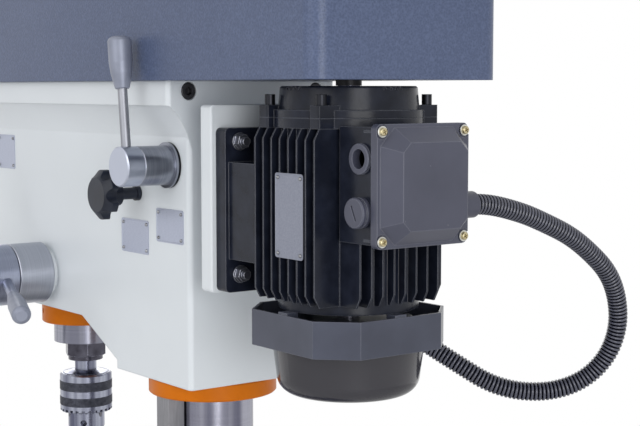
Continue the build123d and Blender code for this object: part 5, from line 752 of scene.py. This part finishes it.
# The lighter rim of the cowl is a painted highlight, and partly wear.
tone = edge_highlight_and_wear(cowl_enamel, tone, soft_edge, start=0.99, full=0.93, most=0.6, edge_light=(0.16, 0.168, 0.205))
relief = emboss(cowl_enamel, peel, strength=0.1, depth=0.0003, surface=soft_edge)
rough = between(cowl_enamel, bowl, 0.32, 0.12)
feed(cowl_enamel, shader, Base_Color=tone, Roughness=rough, Normal=relief)
dress(cowl_enamel, "fan_cowl")

winding, shader, place = finish("winding", (0.35, 0.17, 0.08), metallic=0.7, roughness=0.4)
height = step(winding, "SeparateXYZ", {"Vector": place}, output=2)
stator_low, stator_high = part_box("stator")
below = beyond(winding, height, stator_low.z + END_TURNS, -PARTING)
above = beyond(winding, height, stator_high.z - END_TURNS, PARTING)
ends = step(winding, "Math", {0: above, 1: below}, operation="ADD")
wires = fine_lines(winding, place, (1500, 1500, 12500), detail=2)
copper = shades(winding, wires, ((0.3, (0.25, 0.1, 0.04)), (0.7, (0.45, 0.2, 0.08))))
sheets = shades(winding, wires, ((0.3, (0.16, 0.16, 0.17)), (0.7, (0.32, 0.32, 0.34))))
tone = paint_over(winding, ends, sheets, copper)
feed(winding, shader, Base_Color=tone, Roughness=between(winding, wires, 0.3, 0.5))
dress(winding, "stator")
dress(quill_steel, "rotor")
dress(black_moulding, "motor_fan")


# Motor rating plate
# The plate that is pinned across the fins on the motor's right side.
# It is stamped from sheet aluminium like the plates on the head, and etched to a duller grey.

FIN_TIPS = 0.0692

etched_sheet, shader, place = finish("etched_sheet", (0.26, 0.275, 0.34), metallic=0.7, roughness=0.42)
brushing = fine_lines(etched_sheet, place, (300, 300, 2400), detail=3)
etching = cloud(etched_sheet, place, scale=1100, detail=3)
tone = shades(etched_sheet, etching, ((0.3, (0.215, 0.228, 0.285)), (0.7, (0.275, 0.292, 0.355))))
relief = emboss(etched_sheet, brushing, strength=0.12, depth=0.0001)
rough = between(etched_sheet, brushing, 0.36, 0.5)
feed(etched_sheet, shader, Base_Color=tone, Roughness=rough, Normal=relief)
pinned_plate("motor_rating_plate", FIN_TIPS, (0.206, 0.245), (0.862, 0.933), "motor", etched_sheet)


# Terminal box
# The box on the motor's back where the supply is joined: cast and black like the motor, with a deep
# bevelled cover, a plug and glands that are moulded in dark grey.
# Four yellow-plated screws with pale dished washers hold the cover.

COVER_RIM = 0.008
COVER_SCREW_PITCH = 0.087
ROUND_SIDES = 40
WASHER_R = 0.0046
WASHER_THICKNESS = 0.0009
WASHER_EDGE = 0.0003
WASHER_BRIM = 0.0022
WASHER_DISH = 0.0003
COVER_SCREW_SEAT = 0.0007
COVER_SCREW_R = 0.0033
COVER_SCREW_HEIGHT = 0.0024
COVER_SCREW_DOME = 0.001
CROSS_RECESS = (0.0042, 0.0026, 0.0008)
CROSS_TURN = pi / 7
NEAR = 0.0001  # an edge lies at a place when it is at least this close

box_moulding, shader, place = finish(
    "box_moulding", (0.06, 0.063, 0.092), metallic=0.0, roughness=0.3, specular=0.4,
)
flow = cloud(box_moulding, place, scale=18, detail=4)
pores = cloud(box_moulding, place, scale=700, detail=2)
specks = step(box_moulding, "TexVoronoi", {"Vector": place, "Scale": 90})
tone = shades(box_moulding, flow, ((0.3, (0.05, 0.053, 0.078)), (0.75, (0.072, 0.076, 0.11))))
fleck = shades(box_moulding, specks, ((0.03, (1.0, 1.0, 1.0)), (0.055, (0.0, 0.0, 0.0))))
tone = paint_over(box_moulding, fleck, tone, (0.16, 0.17, 0.2))
soft_edge = soften(box_moulding, 0.001, samples=6)
# The lighter bevel edges of the cover are a painted highlight, and partly wear.
tone = edge_highlight_and_wear(box_moulding, tone, soft_edge, start=0.992, full=0.95, most=0.7, edge_light=(0.17, 0.178, 0.22))
relief = emboss(box_moulding, pores, strength=0.08, depth=0.0002, surface=soft_edge)
rough = between(box_moulding, flow, 0.28, 0.42)
feed(box_moulding, shader, Base_Color=tone, Roughness=rough, Normal=relief)
dress(motor_enamel, "terminal_box")
dress(box_moulding, "terminal_cover", "box_glands")

yellow_zinc, shader, place = finish("yellow_zinc", (0.46, 0.4, 0.24), metallic=1.0, roughness=0.28)
bloom = cloud(yellow_zinc, place, scale=500, detail=3)
yellows = ((0.3, (0.36, 0.3, 0.16)), (0.55, (0.54, 0.47, 0.29)), (0.8, (0.44, 0.43, 0.34)))
tone = shades(yellow_zinc, bloom, yellows)
feed(yellow_zinc, shader, Base_Color=tone, Roughness=between(yellow_zinc, bloom, 0.2, 0.4))

pale_washer, shader, place = finish("pale_washer", (0.62, 0.62, 0.58), metallic=0.6, roughness=0.35)
rub = cloud(pale_washer, place, scale=420, detail=3)
tone = shades(pale_washer, rub, ((0.3, (0.5, 0.5, 0.46)), (0.7, (0.72, 0.72, 0.69))))
feed(pale_washer, shader, Base_Color=tone, Roughness=between(pale_washer, rub, 0.28, 0.45))


def round_over(top_y, radius, segments):
    """In edit mode, rounds the edge of the rear end that lies at a given place."""
    pick("edges", lambda mesh, edge: all(mesh.vertices[end].co.y > top_y - NEAR for end in edge.vertices))
    bpy.ops.mesh.bevel(offset=radius, segments=segments, affect="EDGES")


cover_low, cover_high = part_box("terminal_cover")
cover_middle = (cover_low + cover_high) / 2
washer_seat = Vector((
    cover_middle.x + COVER_SCREW_PITCH / 2, cover_low.y + COVER_RIM, cover_middle.z + COVER_SCREW_PITCH / 2,
))
cover_washer = rearward_cylinder("cover_washer_0", washer_seat, WASHER_R, WASHER_THICKNESS, ROUND_SIDES)
bpy.ops.object.mode_set(mode="EDIT")
round_over(washer_seat.y + WASHER_THICKNESS, WASHER_EDGE, segments=2)
pick("faces", lambda mesh, face: face.normal.y > FACING and len(face.vertices) > ROUND_SIDES / 2)
bpy.ops.mesh.inset(thickness=WASHER_BRIM)
bpy.ops.transform.translate(value=(0, -WASHER_DISH, 0))
bpy.ops.object.mode_set(mode="OBJECT")
cover_washer.data.materials.append(pale_washer)

screw_seat = washer_seat + Vector((0, COVER_SCREW_SEAT, 0))
screw_top = screw_seat + Vector((0, COVER_SCREW_HEIGHT, 0))
cover_screw = rearward_cylinder(
    "cover_screw_0", screw_seat, COVER_SCREW_R, COVER_SCREW_HEIGHT, ROUND_SIDES,
)
bpy.ops.object.mode_set(mode="EDIT")
round_over(screw_top.y, COVER_SCREW_DOME, segments=4)
bpy.ops.object.mode_set(mode="OBJECT")
for turn in (0, pi / 2):
    alone()
    bpy.ops.mesh.primitive_cube_add(
        size=1, location=screw_top, rotation=(0, turn + CROSS_TURN, 0), scale=CROSS_RECESS,
    )
    carve(cover_screw, settle("recess_cutter"))
bpy.ops.object.shade_smooth_by_angle(angle=radians(35))
cover_screw.data.materials.append(yellow_zinc)

for index, (side, end) in enumerate(((0, 0), (-1, 0), (0, -1), (-1, -1))):
    offset = Vector((side * COVER_SCREW_PITCH, 0, end * COVER_SCREW_PITCH))
    for piece, kind in ((cover_washer, "cover_washer"), (cover_screw, "cover_screw")):
        placed = another(piece, f"{kind}_{index}", offset) if index else piece
        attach(placed, "motor")


# Conduit
# The corrugated sleeve that takes the motor's cable from the terminal box round to the switch box.
# It is blown from black plastic in closely set ribs, and hangs in a loop under its own weight.

ROUTE = (
    (-0.080, 0.286, 0.904), (-0.097, 0.286, 0.904), (-0.139, 0.287, 0.894), (-0.169, 0.287, 0.883),
    (-0.200, 0.288, 0.870), (-0.228, 0.287, 0.853), (-0.255, 0.286, 0.832), (-0.273, 0.282, 0.806),
    (-0.281, 0.277, 0.776), (-0.277, 0.268, 0.747), (-0.261, 0.255, 0.725), (-0.237, 0.240, 0.714),
    (-0.209, 0.222, 0.713), (-0.184, 0.203, 0.721), (-0.164, 0.183, 0.738), (-0.148, 0.160, 0.754),
    (-0.136, 0.134, 0.769), (-0.127, 0.105, 0.780), (-0.122, 0.076, 0.786), (-0.122, 0.046, 0.786),
)
CONDUIT_CREST = 0.0091
CONDUIT_ROOT = 0.0074
CONDUIT_RIBS = 158
CONDUIT_SIDES = 28
RIB_SWELLS = (0.55, 0.95, 1.0, 0.95, 0.55)
GROOVE_DEPTH = 0.0035
GROOVE_SHADE_OPENNESS = (0.62, 0.9)

line = bpy.data.curves.new("conduit_line", "CURVE")
line.dimensions = "3D"
spline = line.splines.new("NURBS")
spline.points.add(len(ROUTE) - 1)
for point, at in zip(spline.points, ROUTE):
    point.co = (*at, 1)
spline.order_u = 3
spline.use_endpoint_u = True
line.resolution_u = 24
conduit_line = bpy.data.objects.new("conduit_line", line)
bpy.context.scene.collection.objects.link(conduit_line)
bpy.context.view_layer.update()
drawn = bpy.data.meshes.new_from_object(conduit_line)
route_points = [vertex.co.copy() for vertex in drawn.vertices]
route_length = sum((b - a).length for a, b in zip(route_points, route_points[1:]))
bpy.data.meshes.remove(drawn)

rib_pitch = route_length / CONDUIT_RIBS
alone()
bpy.ops.mesh.primitive_cylinder_add(
    vertices=CONDUIT_SIDES, radius=CONDUIT_ROOT, depth=rib_pitch, end_fill_type="NOTHING",
    location=(rib_pitch / 2, 0, 0), rotation=(0, pi / 2, 0),
)
conduit = settle("conduit_ribs")
bpy.ops.object.mode_set(mode="EDIT")
pick("edges", lambda mesh, edge: run_along(mesh, edge, "x") > rib_pitch / 2)
bpy.ops.mesh.subdivide(number_cuts=len(RIB_SWELLS))
ring_pitch = rib_pitch / (len(RIB_SWELLS) + 1)
for index, swell in enumerate(RIB_SWELLS, start=1):
    growth = (CONDUIT_ROOT + (CONDUIT_CREST - CONDUIT_ROOT) * swell) / CONDUIT_ROOT
    pick("verts", lambda mesh, vertex: abs(vertex.co.x - index * ring_pitch) < ring_pitch / 5)
    bpy.ops.transform.resize(value=(1, growth, growth))
bpy.ops.object.mode_set(mode="OBJECT")
rows = conduit.modifiers.new("rows", "ARRAY")
rows.count = CONDUIT_RIBS
rows.use_relative_offset = False
rows.use_constant_offset = True
rows.constant_offset_displace = (rib_pitch, 0, 0)
rows.use_merge_vertices = True
rows.merge_threshold = rib_pitch / 100
bpy.ops.object.modifier_apply(modifier="rows")
hang = conduit.modifiers.new("hang", "CURVE")
hang.object = conduit_line
hang.deform_axis = "POS_X"
bpy.ops.object.modifier_apply(modifier="hang")
bpy.data.objects.remove(conduit_line)
bpy.ops.object.mode_set(mode="EDIT")
bpy.ops.mesh.select_mode(type="EDGE")
bpy.ops.mesh.select_all(action="DESELECT")
bpy.ops.mesh.select_non_manifold()
bpy.ops.mesh.edge_face_add()
bpy.ops.mesh.select_all(action="SELECT")
bpy.ops.mesh.normals_make_consistent(inside=False)
bpy.ops.object.mode_set(mode="OBJECT")
bpy.ops.object.shade_smooth_by_angle(angle=radians(60))

conduit_plastic, shader, place = finish(
    "conduit_plastic", (0.063, 0.067, 0.097), metallic=0.0, roughness=0.2, specular=0.6,
)
scuffs = cloud(conduit_plastic, place, scale=300, detail=4)
tone = shades(conduit_plastic, scuffs, ((0.3, (0.05, 0.053, 0.078)), (0.75, (0.075, 0.08, 0.115))))
# The grooves between the ribs are darkened in colour and lose their specular: painted shade.
free = openness(conduit_plastic, GROOVE_DEPTH)
groove, crest = GROOVE_SHADE_OPENNESS
tone = wash(conduit_plastic, tone, shades(conduit_plastic, free, (
    (groove, (0.02, 0.02, 0.04)), (crest, (1.0, 1.0, 1.0)),
)))
shine = step(conduit_plastic, "MapRange", {
    "Value": free, "From Min": groove, "From Max": crest, "To Min": 0.02, "To Max": 0.8,
})
rough = between(conduit_plastic, scuffs, 0.18, 0.34)
feed(conduit_plastic, shader, Base_Color=tone, Specular_IOR_Level=shine, Roughness=rough)
conduit.data.materials.append(conduit_plastic)
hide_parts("conduit")
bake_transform(conduit)


# Switch box
# The starter's box on the head's left side, with its gland for the conduit and two push buttons.
# The box is black moulding; the buttons are glossy green and red mouldings in raised rings.

dress(black_moulding, "switch_box", "lower_gland")
for node, name, dark, light in (
    ("start_button", "green_moulding", (0.012, 0.17, 0.045), (0.022, 0.24, 0.065)),
    ("stop_button", "red_moulding", (0.34, 0.012, 0.01), (0.46, 0.018, 0.014)),
):
    button, shader, place = finish(name, light, metallic=0.0, roughness=0.25)
    flow = cloud(button, place, scale=80, detail=3)
    tone = shades(button, flow, ((0.3, dark), (0.7, light)))
    rough = between(button, flow, 0.2, 0.32)
    feed(button, shader, Base_Color=tone, Roughness=rough, Normal=soften(button, 0.0006))
    dress(button, node)


# Studio
# A pale floor under soft lamps, a white backdrop that metal also reflects,
# and a camera behind the drill, to its right, at the height of the head.

FLOOR_R = 2.0
FLOOR_MIDDLE = (0, -0.1, 0)
WALL_LIGHT = 0.66
LAMPS_AIM = Vector((0, 0, 0.85))
CAMERA_AT = Vector((0.75944, 1.17756, 1.00264))
YAW = radians(37.18)
PITCH = radians(4.98)
FOCAL_PIXELS = 1426
PICTURE_PIXELS = 640
SENSOR_WIDTH = 36

floor_paint, shader, place = finish("floor_paint", (0.8, 0.8, 0.8), metallic=0.0, roughness=0.6)
mottle = cloud(floor_paint, place, scale=3, detail=4)
tone = shades(floor_paint, mottle, ((0.3, (0.78, 0.78, 0.78)), (0.7, (0.82, 0.82, 0.82))))
feed(floor_paint, shader, Base_Color=tone)
alone()
bpy.ops.mesh.primitive_circle_add(vertices=96, radius=FLOOR_R, fill_type="NGON", location=FLOOR_MIDDLE)
floor = settle("floor")
floor.data.materials.append(floor_paint)

world = bpy.data.worlds.new("studio")
bpy.context.scene.world = world
world.use_nodes = True
background = world.node_tree.nodes["Background"]
background.inputs["Color"].default_value = (1, 1, 1, 1)
rays = step(world, "LightPath", {}).node.outputs
seen = step(world, "Math", {0: rays["Is Camera Ray"], 1: rays["Is Glossy Ray"]}, operation="MAXIMUM")
clear = step(world, "Math", {0: seen, 1: rays["Is Transmission Ray"]}, operation="MAXIMUM")
feed(world, background, Strength=between(world, clear, WALL_LIGHT, 1.0))

for name, at, size, power in (
    ("key_lamp", (2.4, 0.5, 1.9), 2.2, 17.5),
    ("fill_lamp", (0.9, 2.6, 1.0), 1.5, 25),
    ("front_lamp", (-1.2, -2.4, 1.9), 1.8, 16),
):
    lamp = bpy.data.lights.new(name, "AREA")
    lamp.shape = "DISK"
    lamp.size = size
    lamp.energy = power
    stand = bpy.data.objects.new(name, lamp)
    stand.location = at
    stand.rotation_euler = (LAMPS_AIM - Vector(at)).to_track_quat("-Z", "Y").to_euler()
    bpy.context.scene.collection.objects.link(stand)

camera_data = bpy.data.cameras.new("camera")
camera_data.sensor_fit = "HORIZONTAL"
camera_data.sensor_width = SENSOR_WIDTH
camera_data.lens = FOCAL_PIXELS / PICTURE_PIXELS * SENSOR_WIDTH
camera = bpy.data.objects.new("camera", camera_data)
camera.location = CAMERA_AT
looking = Vector((-sin(YAW) * cos(PITCH), -cos(YAW) * cos(PITCH), -sin(PITCH)))
camera.rotation_euler = looking.to_track_quat("-Z", "Y").to_euler()
bpy.context.scene.collection.objects.link(camera)
bpy.context.scene.camera = camera
bpy.context.scene.view_settings.view_transform = "Standard"
